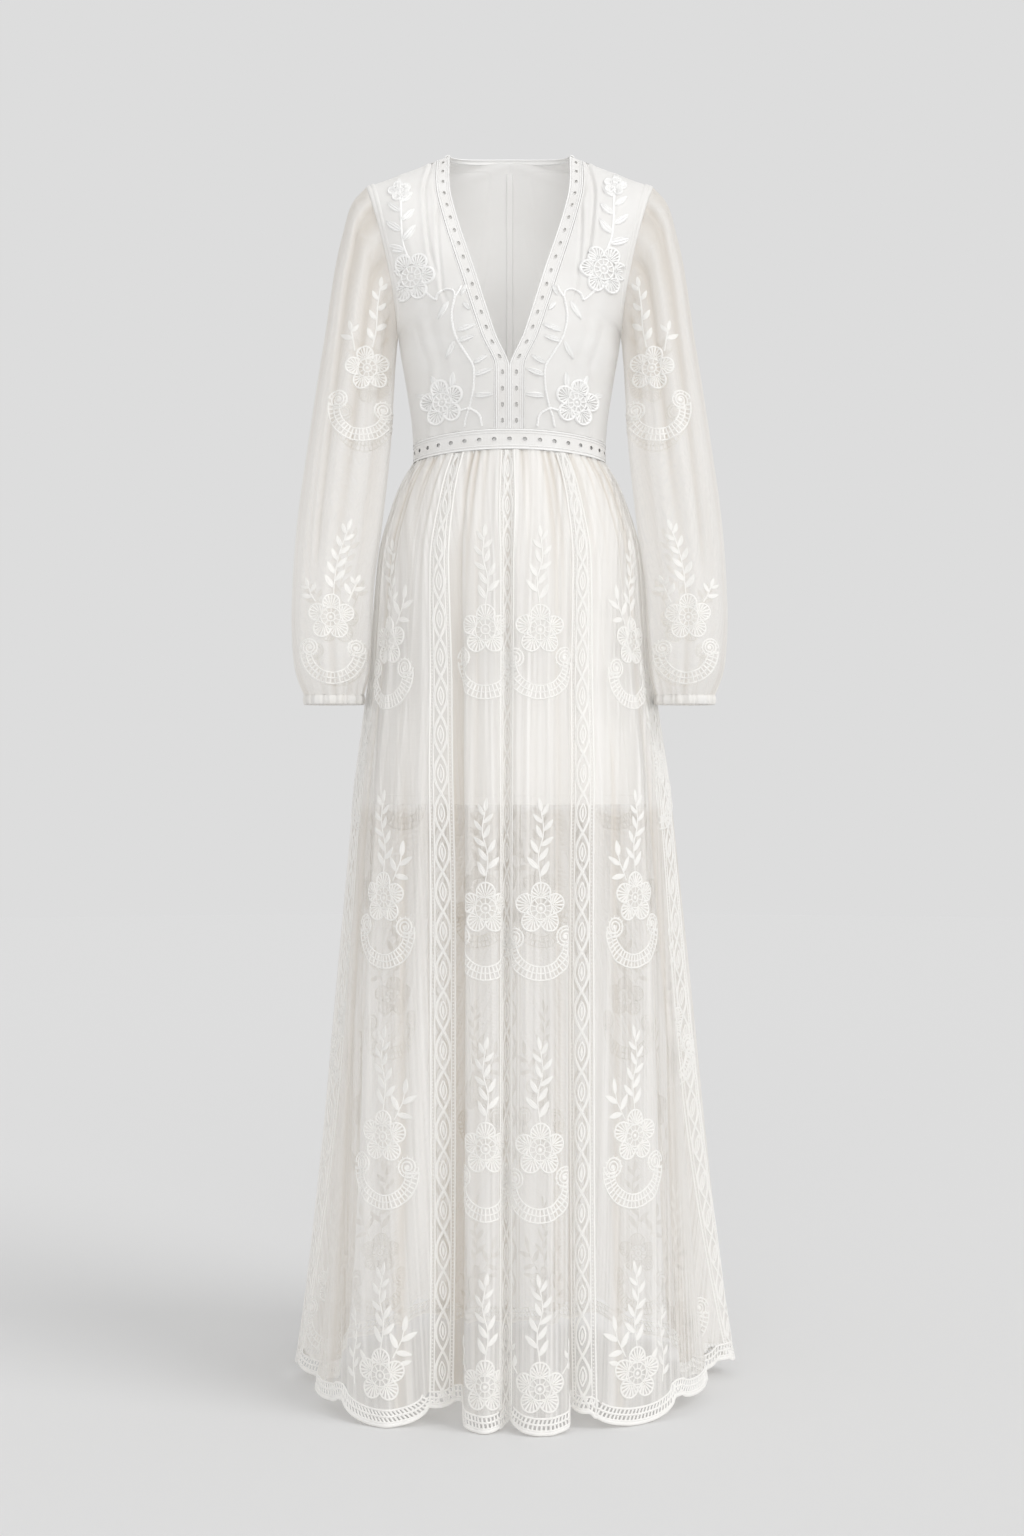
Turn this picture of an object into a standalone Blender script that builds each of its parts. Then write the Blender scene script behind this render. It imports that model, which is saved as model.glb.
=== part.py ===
"""A long-sleeved evening gown of sheer embroidered mesh with lace bands, filled out as if worn.

Metres, +Z up. The front faces -Y, the wearer's left is +X, and the origin is at the middle of the line
between the two neck ends of the shoulder seams, where the wearer's shoulders carry the gown. Every piece of
cloth is a closed wall: a grid of points on its outer face, the same grid moved in by its thickness, and the
edges between them.
"""

from collections import namedtuple

import bmesh
import bpy
import numpy as np


def table(columns, *rows):
    """A short table, whose values are read by the names of its columns. Its lengths are in millimetres."""
    row = namedtuple("Row", columns)
    return tuple(row(*values) for values in rows)


MM = 0.001

# Gaps and walls.
SEAM = 0.3 * MM
HALF_SEAM = SEAM / 2
SLEEVE_GAP = 0.4 * MM
BODICE_WALL = 1.6 * MM
BACK_WALL = 1.0 * MM
LINING_WALL = 1.0 * MM
TRIM_WALL = 1.6 * MM
BINDING_WALL = 2.3 * MM
SLEEVE_WALL = 1.1 * MM
CUFF_WALL = 2.0 * MM
WAIST_WALL = 3.4 * MM
SKIRT_WALL = 1.1 * MM
SLIP_WALL = 1.0 * MM

# Widths of the narrow pieces.
TRIM_WIDTH = 16.5 * MM
BINDING_WIDTH = 6 * MM
ARMHOLE_BAND_WIDTH = 11 * MM
TAPE_WIDTH = 9 * MM

# Heights that several pieces share.
SHOULDER_DROP = 39 * MM
WAIST_TOP = -346 * MM
WAIST_BOTTOM = -370 * MM
HEM = -1486 * MM
CUFF_TOP = -660 * MM
CUFF_BOTTOM = -671 * MM

# The shoulder seam runs from the neck end out and down to the armhole.
NECK_HALF_WIDTH = 73 * MM
SHOULDER_HALF_WIDTH = 175 * MM
SHOULDER_Y = 4 * MM
BACK_NECK_Y = 50 * MM
BACK_NECK_RISE = 7 * MM

# The armhole is an oval that leans in towards the armpit.
ARMPIT_Z = -212 * MM
ARMPIT_HALF_WIDTH = 135 * MM
ARMHOLE_HALF_DEPTH = 50 * MM
ARMHOLE_INSET = 5 * MM

# The middle of the bodice at each height: the place of its front, the half width of the neck opening there,
# and the place of its back. The neck opening starts at the V point.
MIDDLE = table(
    "z front_y front_x back_y",
    (-346, -88, 0, 80),
    (-310, -99, 0, 82),
    (-273, -105, 0, 86),
    (-264, -105, 4, 87),
    (-232, -104, 15, 92),
    (-192, -97, 28.5, 98),
    (-152, -84, 41.5, 101),
    (-115, -68, 54.5, 101),
    (-79, -50, 65, 97),
    (-38, -26, 72.5, 81),
    (-13, -8, 73, 62),
    (0, 4, 73, 52),
)

# The side seam's half width at each height, up to the armhole band.
SIDE_SEAM = table(
    "z half_width",
    (-346, 117),
    (-318, 119.5),
    (-291, 124),
    (-266, 128.5),
    (-244, 132.5),
    (-223, 135),
)

# One row for each section of the bodice, from the waist up to the shoulder seam. A section runs from the
# neck edge (front_z, or back_z and then back_turn along the back neckline) to the side seam at side_z, or to
# the armhole at armhole_angle, which is 180 at the armpit and 0 at the shoulder. The leave and meet columns
# are the directions, in degrees from straight out sideways, in which the section leaves the neck edge and
# meets its outer edge.
SECTIONS = table(
    "name front_z back_z back_turn side_z armhole_angle front_leave front_meet back_leave back_meet",
    ("waist", -345.7, -345.7, 0, -345.7, None, 0, 90, 0, 90),
    ("ribs", -320, -318, 0, -318, None, 0, 90, 0, 90),
    ("under_v", -295, -291, 0, -291, None, -2, 90, 0, 90),
    ("v_point", -273, -266, 0, -266, None, -3, 89, -2, 89),
    ("bust", -238, -236, 0, -244, None, -5, 87, -3, 88),
    ("armpit", -202, -202, 0, None, 180, -6, 84, -3, 84),
    ("side_chest", -180, -168, 0, None, 156, -6, 73, -4, 75),
    ("low_chest", -156, -134, 0, None, 132, -6, 60, -4, 64),
    ("mid_chest", -130, -98, 0, None, 108, -8, 50, -4, 56),
    ("chest", -103, -64, 0, None, 84, -10, 42, -4, 47),
    ("high_chest", -76, -32, 0, None, 62, -10, 32, -4, 38),
    ("collarbone", -51, None, 0, None, 42, -9, 22, -6, 29),
    ("yoke", -31, None, 32, None, 24, -7, 12, -6, 16),
    ("top_yoke", -14, None, 62, None, 11, -3, 5, -3, 7),
    ("shoulder", 0, None, 90, None, 0, 0, 0, 0, 0),
)
SECTION_REACH = 0.38
SECTION_SAMPLES = 80

# The bodice's walls have their thickness towards a core: this share of their half width, below this height.
CORE_WIDTH = 0.55
CORE_TOP = -150 * MM

# The sleeve's rings, from the armhole to the cuff: its outer and inner points, its half depth and its middle
# in Y.
SLEEVE = table(
    "outer_x outer_z inner_x inner_z half_depth mid_y",
    (190, -56, 137.5, -226, 53, 3),
    (204, -100, 139.5, -250, 56, 1),
    (226, -231, 141.5, -296, 54, -5),
    (244, -350, 144.5, -360, 50, -12),
    (257.5, -455, 154.5, -455, 50, -20),
    (262, -525, 163.5, -525, 51, -26),
    (262.5, -585, 166, -585, 50, -31),
    (257, -634, 168.5, -632, 43, -34),
    (247, -660, 175, -660, 31, -36),
)

# The skirt's rings before its folds: half width, and half depth to the front and to the back.
SKIRT = table(
    "z half_width front back",
    (-370, 117, 88, 80),
    (-396, 131, 97, 92),
    (-434, 144.5, 109, 108),
    (-485, 157.5, 123, 126),
    (-573, 164.5, 142, 147),
    (-640, 169, 155, 160),
    (-690, 175, 166, 170),
    (-750, 182.5, 177, 180),
    (-825, 188.5, 188, 190),
    (-900, 194, 197, 198),
    (-1050, 204.5, 210, 210),
    (-1200, 213, 222, 222),
    (-1320, 221, 231, 231),
    (-1400, 228, 236, 236),
    (-1486, 238, 241, 241),
)
SLIP = table(
    "z half_width front back",
    (-370, 114, 85, 77),
    (-396, 124, 91, 86),
    (-434, 135, 98, 97),
    (-485, 145, 108, 110),
    (-573, 154, 120, 125),
    (-690, 160, 132, 136),
    (-790, 165, 141, 144),
)

# One row for each crest and valley of the skirt: its angle from the front towards the wearer's left at the
# hip, the knee and the hem, and how far it stands out at each of them.
FOLDS = table(
    "name hip knee hem hip_out knee_out hem_out",
    ("front_valley", -1, -1, -1, -8, -12, -10),
    ("left_valley_edge", 2.6, 1.9, 1.3, 2, 6, 8),
    ("left_flute", 12.6, 9.7, 7.4, 2, 12, 25),
    ("left_flute_side", 24, 18.5, 14.8, 1, 8, 17),
    ("left_valley", 28, 21, 17.5, -4, -6, -8),
    ("left_band", 32, 24, 19.7, 0, 3, 7),
    ("left_panel", 52, 45, 34, 0, 7, 22),
    ("left_shoulder", 60, 56, 46, 0, 9, 24),
    ("left_ridge", 67, 67, 66, 1, 7, 19),
    ("left_side_valley", 74, 75, 77.5, 0, -9, -27),
    ("left_side_ridge", 93, 92, 92, 3, 17, 40),
    ("left_back_valley", 108, 109, 110, -1, -9, -22),
    ("left_back_ridge", 124, 125, 126, 1, 9, 22),
    ("left_back_dip", 136, 138, 139, -1, -6, -14),
    ("left_back_flute", 148, 151, 153, 1, 10, 24),
    ("left_rear_valley", 158, 161, 164, -3, -10, -24),
    ("left_rear_flute", 168, 170, 172, 1, 8, 18),
    ("rear_valley", 180, 180, 180, -3, -6, -8),
    ("right_rear_flute", -167, -169, -171, 1, 8, 20),
    ("right_rear_valley", -157, -160, -163, -3, -11, -26),
    ("right_back_flute", -147, -150, -152, 1, 9, 22),
    ("right_back_dip", -137, -138, -139, -1, -6, -15),
    ("right_back_ridge", -125, -126, -127, 1, 10, 24),
    ("right_back_valley", -109, -109, -109, -1, -8, -20),
    ("right_side_ridge", -93, -92, -90, 1, 8, 25),
    ("right_side_valley", -75, -74, -71.5, 0, -9, -24),
    ("right_ridge", -67, -64, -59, 0, 10, 26),
    ("right_shoulder", -60, -55, -43.5, 0, 12, 33),
    ("right_panel", -52, -43, -32.3, 0, 11, 30),
    ("right_band", -32, -23.2, -21, 0, -6, -17),
    ("right_valley", -22.5, -16.9, -16, -7, -20, -38),
    ("right_flute_side", -18, -13.7, -11.6, 2, 4, 4),
    ("right_flute", -10, -7.6, -6.2, 2, 8, 16),
    ("right_valley_edge", -4.6, -3.9, -3.3, 2, 6, 8),
)
HIP = -500 * MM
KNEE = -950 * MM
FOLDS_START = -420 * MM

# The lace bands: the angle of each one's middle at the hip, the knee and the hem.
BANDS = table(
    "name hip knee hem",
    ("band_front", -1, -1, -1),
    ("band_front_left", 32.5, 24.2, 19.8),
    ("band_side_left", 84, 84, 91),
    ("band_back_left", 148, 153, 158),
    ("band_back", 180, 180, 180),
    ("band_back_right", -148, -153, -158),
    ("band_side_right", -84, -84, -89),
    ("band_front_right", -31.5, -23.2, -20.5),
)
BAND_WIDTH = table(
    "z width",
    (-370, 17),
    (-434, 21),
    (-500, 25),
    (-640, 28),
    (-790, 30),
    (-950, 31),
    (-1486, 32),
)

# The mesh panels, in order round the skirt, each after the band of the same row above. A panel's grid has a
# line along each of its crests and valleys, and between them enough strips, no wider than STRIP at the hem.
PANELS = (
    "mesh_front_left",
    "mesh_side_front_left",
    "mesh_side_back_left",
    "mesh_back_left",
    "mesh_back_right",
    "mesh_side_back_right",
    "mesh_side_front_right",
    "mesh_front_right",
)
STRIP = 30 * MM
LEAST_STRIP = 4 * MM

# The hem's scallops: the angle of each one's middle, its width and its depth.
SCALLOPS = table(
    "angle width depth",
    (8.6, 100, 20),
    (34, 112, 20),
    (57, 66, 6),
    (80, 78, 12),
    (101, 78, 12),
    (126, 112, 16),
    (145, 70, 8),
    (170, 118, 16),
    (-170, 118, 16),
    (-145, 70, 8),
    (-126, 112, 16),
    (-101, 78, 12),
    (-79, 78, 12),
    (-53, 62, 6),
    (-32.3, 112, 20),
    (-7.2, 96, 20),
)
BAND_SCALLOP_DEPTH = 4 * MM
SCALLOP_TOP = 20 * MM

# The heights of the skirt's and the slip's rings, in mm, from a seam's gap below the waistband. The skirt's
# last ring is at the hem.
SKIRT_ROWS = (-370.3, -400, -445, -520, -640, -790, -950, -1150, -1330)
SLIP_ROWS = (-370.3, -396, -434, -520, -640, -790)

# Counts of the grids.
FRONT_STRIPS = 6
BACK_STRIPS = 5
BAND_STRIPS = 2
TRIM_STRIPS = 1
WAIST_STRIPS = 36
SLIP_STRIPS = 11
RING_SAMPLES = 2880
SHARP_ANGLE = np.radians(40)

# The cloths: colours as linear red, green and blue, with roughness.
Cloth = namedtuple("Cloth", "name colour roughness")
MESH_CLOTH = Cloth("mesh", (0.74, 0.70, 0.62), 0.8)
LACE = Cloth("lace", (0.82, 0.79, 0.72), 0.75)
BODICE_CLOTH = Cloth("bodice", (0.80, 0.77, 0.70), 0.75)
LINING_CLOTH = Cloth("lining", (0.83, 0.81, 0.76), 0.7)
TRIM_CLOTH = Cloth("trim", (0.80, 0.77, 0.70), 0.75)


# ---------------------------------------------------------------- tables and curves


def table_curve(rows, column, at):
    """The smooth curve through one column of a table of heights, read at heights in metres."""
    rows = sorted(rows)
    known = np.array([row.z for row in rows]) * MM
    values = np.array([getattr(row, column) for row in rows], float) * MM
    return smooth_curve(known, values, at)


def smooth_curve(known, values, at):
    """A curve through the given values that never runs past them between two points."""
    steps = np.diff(known)
    slopes = np.diff(values) / steps
    tangents = np.zeros(len(known))
    for i in range(1, len(known) - 1):
        if slopes[i - 1] * slopes[i] > 0:
            first = 2 * steps[i] + steps[i - 1]
            second = steps[i] + 2 * steps[i - 1]
            tangents[i] = (first + second) / (first / slopes[i - 1] + second / slopes[i])
    tangents[0] = slopes[0]
    tangents[-1] = slopes[-1]
    at = np.clip(np.asarray(at, float), known[0], known[-1])
    i = np.clip(np.searchsorted(known, at, side="right") - 1, 0, len(steps) - 1)
    t = (at - known[i]) / steps[i]
    return (
        values[i] * (1 + 2 * t) * (1 - t) ** 2
        + tangents[i] * steps[i] * t * (1 - t) ** 2
        + values[i + 1] * t**2 * (3 - 2 * t)
        + tangents[i + 1] * steps[i] * t**2 * (t - 1)
    )


def unit(vectors):
    return vectors / np.linalg.norm(vectors, axis=-1, keepdims=True)


def along(points, lengths):
    """The points at the given lengths along a polyline."""
    steps = np.linalg.norm(np.diff(points, axis=0), axis=1)
    run = np.concatenate([[0], np.cumsum(steps)])
    return np.stack([np.interp(lengths, run, points[:, axis]) for axis in range(3)], axis=-1)


def length_of(points):
    return np.linalg.norm(np.diff(points, axis=0), axis=1).sum()


# ---------------------------------------------------------------- bodice


def armhole(angle, width=0.0):
    """The armhole's edge on the wearer's left at an angle of 0 at the shoulder, 90 in front and 180 at the
    armpit, moved out over the bodice by a width."""
    turn = np.radians(angle)
    top = -SHOULDER_DROP
    z = (top + ARMPIT_Z) / 2 + (top - ARMPIT_Z) / 2 * np.cos(turn)
    lean = (z - ARMPIT_Z) / (top - ARMPIT_Z)
    x = ARMPIT_HALF_WIDTH + (SHOULDER_HALF_WIDTH - ARMPIT_HALF_WIDTH) * lean
    x -= ARMHOLE_INSET * np.sin(turn) ** 2
    y = SHOULDER_Y - ARMHOLE_HALF_DEPTH * np.sin(turn)
    slope = unit(np.array([NECK_HALF_WIDTH - SHOULDER_HALF_WIDTH, 0, SHOULDER_DROP]))
    outward = (
        slope * max(np.cos(turn), 0) ** 2
        + np.array([0, 0, -1]) * max(-np.cos(turn), 0) ** 2
        + np.array([-0.65, -0.76, 0]) * max(np.sin(turn), 0) ** 2
        + np.array([-0.65, 0.76, 0]) * max(-np.sin(turn), 0) ** 2
    )
    return np.array([x, y, z]) + width * unit(outward)


def back_neck(turn, width=0.0):
    """The back neckline at 0 at the centre back and 90 at the shoulder seam, moved down by a width."""
    a = np.radians(turn)
    x = NECK_HALF_WIDTH * np.sin(a)
    y = SHOULDER_Y + (BACK_NECK_Y - SHOULDER_Y) * np.cos(a)
    z = BACK_NECK_RISE * np.cos(a) ** 2
    slope = unit(np.array([SHOULDER_HALF_WIDTH - NECK_HALF_WIDTH, 0, -SHOULDER_DROP]))
    outward = np.array([0, 0.55, -0.83]) * np.cos(a) ** 2 + slope * np.sin(a) ** 2
    return np.array([x, y, z]) + width * unit(outward)


def neck_edge(z):
    """The front neck edge on the wearer's left: up the centre front, then out from the V point."""
    half_width = max(table_curve(MIDDLE, "front_x", z), HALF_SEAM)
    return np.array([half_width, table_curve(MIDDLE, "front_y", z), z])


def section_ends(row, front):
    """The two ends of a section of the bodice on the wearer's left, inner and outer."""
    towards = -1 if front else 1
    if front:
        start = neck_edge(row.front_z * MM)
    elif row.back_z is None:
        start = back_neck(row.back_turn, BINDING_WIDTH + SEAM)
        start[0] = max(start[0], HALF_SEAM)
    else:
        start = np.array([HALF_SEAM, table_curve(MIDDLE, "back_y", row.back_z * MM), row.back_z * MM])
    if row.armhole_angle is None:
        side_z = row.side_z * MM
        end = np.array([table_curve(SIDE_SEAM, "half_width", side_z), towards * HALF_SEAM, side_z])
    else:
        end = armhole(-towards * row.armhole_angle, ARMHOLE_BAND_WIDTH + SEAM)
        if row.armhole_angle in (0, 180):
            end[1] += towards * HALF_SEAM
    if row.name == "shoulder":
        start[1] = SHOULDER_Y + towards * HALF_SEAM
    return start, end


def section_curve(row, front):
    """A section of the bodice on the wearer's left, as points from the neck edge to its outer edge."""
    start, end = section_ends(row, front)
    if row.name == "shoulder":
        return np.linspace(start, end, SECTION_SAMPLES)
    towards = -1 if front else 1
    leave = np.radians(row.front_leave if front else row.back_leave)
    meet = np.radians(row.front_meet if front else row.back_meet)
    chord = end - start
    reach = SECTION_REACH * np.hypot(chord[0], chord[1])
    lift = chord[2] * SECTION_REACH
    first = start + np.array([reach * np.cos(leave), -towards * reach * np.sin(leave), lift])
    second = end - np.array([reach * np.cos(meet), -towards * reach * np.sin(meet), lift])
    t = np.linspace(0, 1, SECTION_SAMPLES)[:, None]
    start_part = (1 - t) ** 3 * start + 3 * t * (1 - t) ** 2 * first
    return start_part + 3 * t**2 * (1 - t) * second + t**3 * end


def into_body(points):
    """The direction in which the bodice's walls have their thickness, the same for pieces that meet."""
    core = points * np.array([CORE_WIDTH, 0, 1])
    core[..., 1] = SHOULDER_Y
    core[..., 2] = np.minimum(points[..., 2], CORE_TOP)
    return unit(core - points)


def strip_of_sections(front, first, last, strips):
    """A grid over the bodice, from a length after each section's start to a length before its end."""
    grid = []
    for row in SECTIONS:
        curve = section_curve(row, front)
        whole = length_of(curve)
        grid.append(along(curve, np.linspace(first, whole - last, strips + 1)))
    return np.array(grid)


def bodice_pieces():
    front = strip_of_sections(True, TRIM_WIDTH + SEAM, 0, FRONT_STRIPS)
    trim_rows = []
    for row in SECTIONS:
        trim_rows.append(along(section_curve(row, True), np.linspace(0, TRIM_WIDTH, TRIM_STRIPS + 1)))
    trim = np.array(trim_rows)
    back = strip_of_sections(False, 0, 0, BACK_STRIPS)
    for side, sign in (("left", 1), ("right", -1)):
        body_wall(f"bodice_front_{side}", front, sign, 0, BODICE_WALL, BODICE_CLOTH)
        body_wall(f"neck_trim_{side}", trim, sign, 0, TRIM_WALL, TRIM_CLOTH)
        body_wall(f"bodice_back_{side}", back, sign, 0, BACK_WALL, BODICE_CLOTH)
        body_wall(f"back_lining_{side}", back, sign, BACK_WALL + SEAM, LINING_WALL, LINING_CLOTH)
    centre_back_tape(back)


def body_wall(name, grid, sign, depth, thickness, cloth):
    """A wall over the bodice, at a depth below its outer face, mirrored for the wearer's right."""
    inward = into_body(grid)
    outer = (grid + inward * depth) * np.array([sign, 1, 1])
    inner = (grid + inward * (depth + thickness)) * np.array([sign, 1, 1])
    wall(name, outer, inner, cloth)


def armhole_angles():
    """The angles of the sections that end at the armhole, all round it."""
    front = [row.armhole_angle for row in SECTIONS if row.armhole_angle is not None]
    return np.array(front + [-angle for angle in reversed(front[1:-1])], float)


def armhole_bands():
    widths = (ARMHOLE_BAND_WIDTH, 0)
    outer = np.array([[armhole(angle, width) for angle in armhole_angles()] for width in widths])
    inner = outer + into_body(outer) * TRIM_WALL
    for side, sign in (("left", 1), ("right", -1)):
        mirror = np.array([sign, 1, 1])
        wall(f"armhole_band_{side}", outer * mirror, inner * mirror, TRIM_CLOTH, ring=True)


def back_neck_binding():
    turns = [row.back_turn for row in SECTIONS if row.back_z is None]
    half = np.array([[back_neck(turn, width) for turn in turns] for width in (0, BINDING_WIDTH)])
    half[:, -1, 1] += HALF_SEAM
    mirrored = half[:, :0:-1] * np.array([-1, 1, 1])
    grid = np.concatenate([mirrored, half], axis=1)
    wall("back_neck_binding", grid, grid + into_body(grid) * BINDING_WALL, TRIM_CLOTH)


def centre_back_tape(back):
    """The tape that covers the centre-back seam on the inside, from the neck binding to the waistband."""
    count = sum(1 for row in SECTIONS if row.back_z is not None) + 1
    seam, beside = back[:count, :1], back[:count, 1:2]
    share = TAPE_WIDTH / 2 / np.linalg.norm(beside - seam, axis=-1, keepdims=True)
    half = seam + (beside - seam) * share
    inward = into_body(seam) + (into_body(beside) - into_body(seam)) * share
    mirror = np.array([-1, 1, 1])
    grid = np.concatenate([half * mirror, (seam + seam * mirror) / 2, half], axis=1)
    inward = np.concatenate([inward * mirror, into_body(seam), inward], axis=1)
    depth = BACK_WALL + LINING_WALL + 2 * SEAM
    wall("centre_back_tape", grid + inward * depth, grid + inward * (depth + LINING_WALL), LINING_CLOTH)


# ---------------------------------------------------------------- sleeves


def sleeve_rings():
    """The wearer's left sleeve, as a ring of points at the armhole and one for each row of the table."""
    angles = armhole_angles()
    head = np.array([armhole(angle) for angle in angles]) + np.array([SLEEVE_GAP, 0, 0])
    turn = np.radians(angles)[:, None]
    rings = [head]
    for row in SLEEVE:
        outer = np.array([row.outer_x, row.mid_y, row.outer_z]) * MM
        inner = np.array([row.inner_x, row.mid_y, row.inner_z]) * MM
        depth = np.array([0, -row.half_depth, 0]) * MM
        rings.append((outer + inner) / 2 + (outer - inner) / 2 * np.cos(turn) + depth * np.sin(turn))
    return np.array(rings)


def ring_normals(grid):
    """The inward directions of a tube of rings."""
    around = np.roll(grid, -1, axis=1) - np.roll(grid, 1, axis=1)
    down = np.gradient(grid, axis=0)
    return unit(np.cross(down, around))


def sleeves_and_cuffs():
    rings = sleeve_rings()
    inward = ring_normals(rings)
    middle = rings.mean(axis=1, keepdims=True)
    if np.sum(inward * (middle - rings)) < 0:
        inward = -inward
    linings = rings + inward * SLEEVE_WALL
    top = rings[-1].copy()
    top[:, 2] = CUFF_TOP - SEAM
    bottom = top.copy()
    bottom[:, 2] = CUFF_BOTTOM
    cuff = np.array([top, bottom])
    cuff_inner = cuff + unit(cuff.mean(axis=1, keepdims=True) - cuff) * CUFF_WALL
    for side, sign in (("left", 1), ("right", -1)):
        mirror = np.array([sign, 1, 1])
        wall(f"sleeve_{side}", rings * mirror, linings * mirror, MESH_CLOTH, ring=True)
        wall(f"cuff_{side}", cuff * mirror, cuff_inner * mirror, TRIM_CLOTH, ring=True)


# ---------------------------------------------------------------- waistband, skirt and slip


def between_levels(z, hip, knee, hem):
    """A smooth value at a height, from its values at the hip, the knee and the hem."""
    return float(smooth_curve(np.array([HEM, KNEE, HIP]), np.array([hem, knee, hip], float), z))


def line_angle(row, z):
    """The angle at a height of a row of the folds or of the bands."""
    return between_levels(z, row.hip, row.knee, row.hem)


def fold_out(angles, z):
    """How far the folds stand out at the given angles and height."""
    share = MM * np.clip((FOLDS_START - z) / (FOLDS_START - HIP), 0, 1)
    known = np.array([line_angle(row, z) % 360 for row in FOLDS])
    out = share * np.array([between_levels(z, row.hip_out, row.knee_out, row.hem_out) for row in FOLDS])
    order = np.argsort(known)
    known, out = known[order], out[order]
    known = np.concatenate([known[-3:] - 360, known, known[:3] + 360])
    out = np.concatenate([out[-3:], out, out[:3]])
    return smooth_curve(known, out, np.asarray(angles) % 360)


def level_ring(rows, z, folds):
    """A ring of the skirt or slip at one height, from the centre back round by the wearer's right."""
    angles = np.linspace(-180, 180, RING_SAMPLES + 1)
    turn = np.radians(angles)
    half_width = table_curve(rows, "half_width", z)
    depth = np.where(np.cos(turn) > 0, table_curve(rows, "front", z), table_curve(rows, "back", z))
    points = np.stack([half_width * np.sin(turn), -depth * np.cos(turn)], axis=-1)
    if folds:
        radius = np.linalg.norm(points, axis=1, keepdims=True)
        points = points * (1 + fold_out(angles, z)[:, None] / radius)
    run = np.concatenate([[0], np.cumsum(np.linalg.norm(np.diff(points, axis=0), axis=1))])
    around = np.gradient(points, axis=0)
    inward = unit(np.stack([-around[:, 1], around[:, 0]], axis=-1))
    return {"z": z, "angles": angles, "points": points, "run": run, "inward": inward}


def on_ring(ring, lengths):
    """Points and inward directions at lengths along a ring, which may run past its ends."""
    whole = ring["run"][-1]
    at = np.asarray(lengths) % whole
    points = np.stack([np.interp(at, ring["run"], ring["points"][:, i]) for i in range(2)], axis=-1)
    inward = np.stack([np.interp(at, ring["run"], ring["inward"][:, i]) for i in range(2)], axis=-1)
    return points, unit(inward)


def length_at(ring, angle):
    return np.interp(angle, ring["angles"], ring["run"])


def band_edges(ring, row):
    """The lengths along a ring at which a lace band starts and ends."""
    middle = length_at(ring, line_angle(row, ring["z"]))
    half = table_curve(BAND_WIDTH, "width", ring["z"]) / 2
    return middle - half, middle + half


def hem_lift(hem, lengths, edges):
    """How far the hem lies above its lowest line at lengths along its ring. edges are the lace bands'."""
    whole = hem["run"][-1]
    lift = np.full(len(lengths), SCALLOP_TOP)
    scallops = [(length_at(hem, row.angle), row.width * MM, row.depth * MM) for row in SCALLOPS]
    scallops += [((start + end) / 2, end - start, BAND_SCALLOP_DEPTH) for start, end in edges]
    for middle, width, depth in scallops:
        away = (lengths - middle + whole / 2) % whole - whole / 2
        lift -= depth * np.sqrt(np.clip(1 - (2 * away / width) ** 2, 0, 1))
    return np.maximum(lift, 0)


def grid_lines(ring, start, end, counts):
    """The lengths along a ring of a piece's grid lines. counts gives the piece's starting edge, then each
    crest or valley in it, with the number of strips that follow."""
    whole = ring["run"][-1]
    knots = [start]
    for i, (fold, _) in enumerate(counts[1:], 1):
        knot = length_at(ring, line_angle(fold, ring["z"]))
        knot = start + (knot - start + whole / 2) % whole - whole / 2
        knots.append(np.clip(knot, knots[-1] + LEAST_STRIP, end - LEAST_STRIP * (len(counts) - i)))
    knots.append(end)
    lines = [np.array([start])]
    for (_, count), left, right in zip(counts, knots, knots[1:]):
        lines.append(np.linspace(left, right, count + 1)[1:])
    return np.concatenate(lines)


def strip_counts(hem, start, end):
    """The crests and valleys of a panel in order along the hem, each with the number of strips after it."""
    whole = hem["run"][-1]
    knots = [(start, None)]
    for fold in FOLDS:
        knot = length_at(hem, fold.hem)
        if knot < start:
            knot += whole
        if start + STRIP / 2 < knot < end - STRIP / 2:
            knots.append((knot, fold))
    knots.sort(key=lambda knot: knot[0])
    rights = [knot[0] for knot in knots[1:]] + [end]
    return [(fold, int(np.ceil((right - left) / STRIP))) for (left, fold), right in zip(knots, rights)]


def skirt_pieces():
    rings = [level_ring(SKIRT, z * MM, True) for z in SKIRT_ROWS] + [level_ring(SKIRT, HEM, True)]
    hem = rings[-1]
    edges = [[band_edges(ring, row) for row in BANDS] for ring in rings]
    for number, (band, panel) in enumerate(zip(BANDS, PANELS)):
        ranges = [row[number] for row in edges]
        skirt_wall(band.name, rings, ranges, [(None, BAND_STRIPS)], edges[-1], LACE)
        follow = (number + 1) % len(BANDS)
        ranges = []
        for ring, row in zip(rings, edges):
            start, end = row[number][1], row[follow][0]
            ranges.append((start, end if end > start else end + ring["run"][-1]))
        skirt_wall(panel, rings, ranges, strip_counts(hem, *ranges[-1]), edges[-1], MESH_CLOTH)


def skirt_wall(name, rings, ranges, counts, hem_edges, cloth):
    """One band or panel of the skirt, between its range of lengths along each ring."""
    outer = []
    inner = []
    for ring, (start, end) in zip(rings, ranges):
        lengths = grid_lines(ring, start + HALF_SEAM, end - HALF_SEAM, counts)
        points, inward = on_ring(ring, lengths)
        level = np.full((len(lengths), 1), ring["z"])
        outer.append(np.hstack([points, level]))
        inner.append(np.hstack([points + inward * SKIRT_WALL, level]))
    raised = hem_lift(rings[-1], lengths, hem_edges) / (rings[-2]["z"] - HEM)
    for grid in (outer, inner):
        grid[-1] = grid[-1] + (grid[-2] - grid[-1]) * raised[:, None]
    wall(name, np.array(outer), np.array(inner), cloth)


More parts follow.
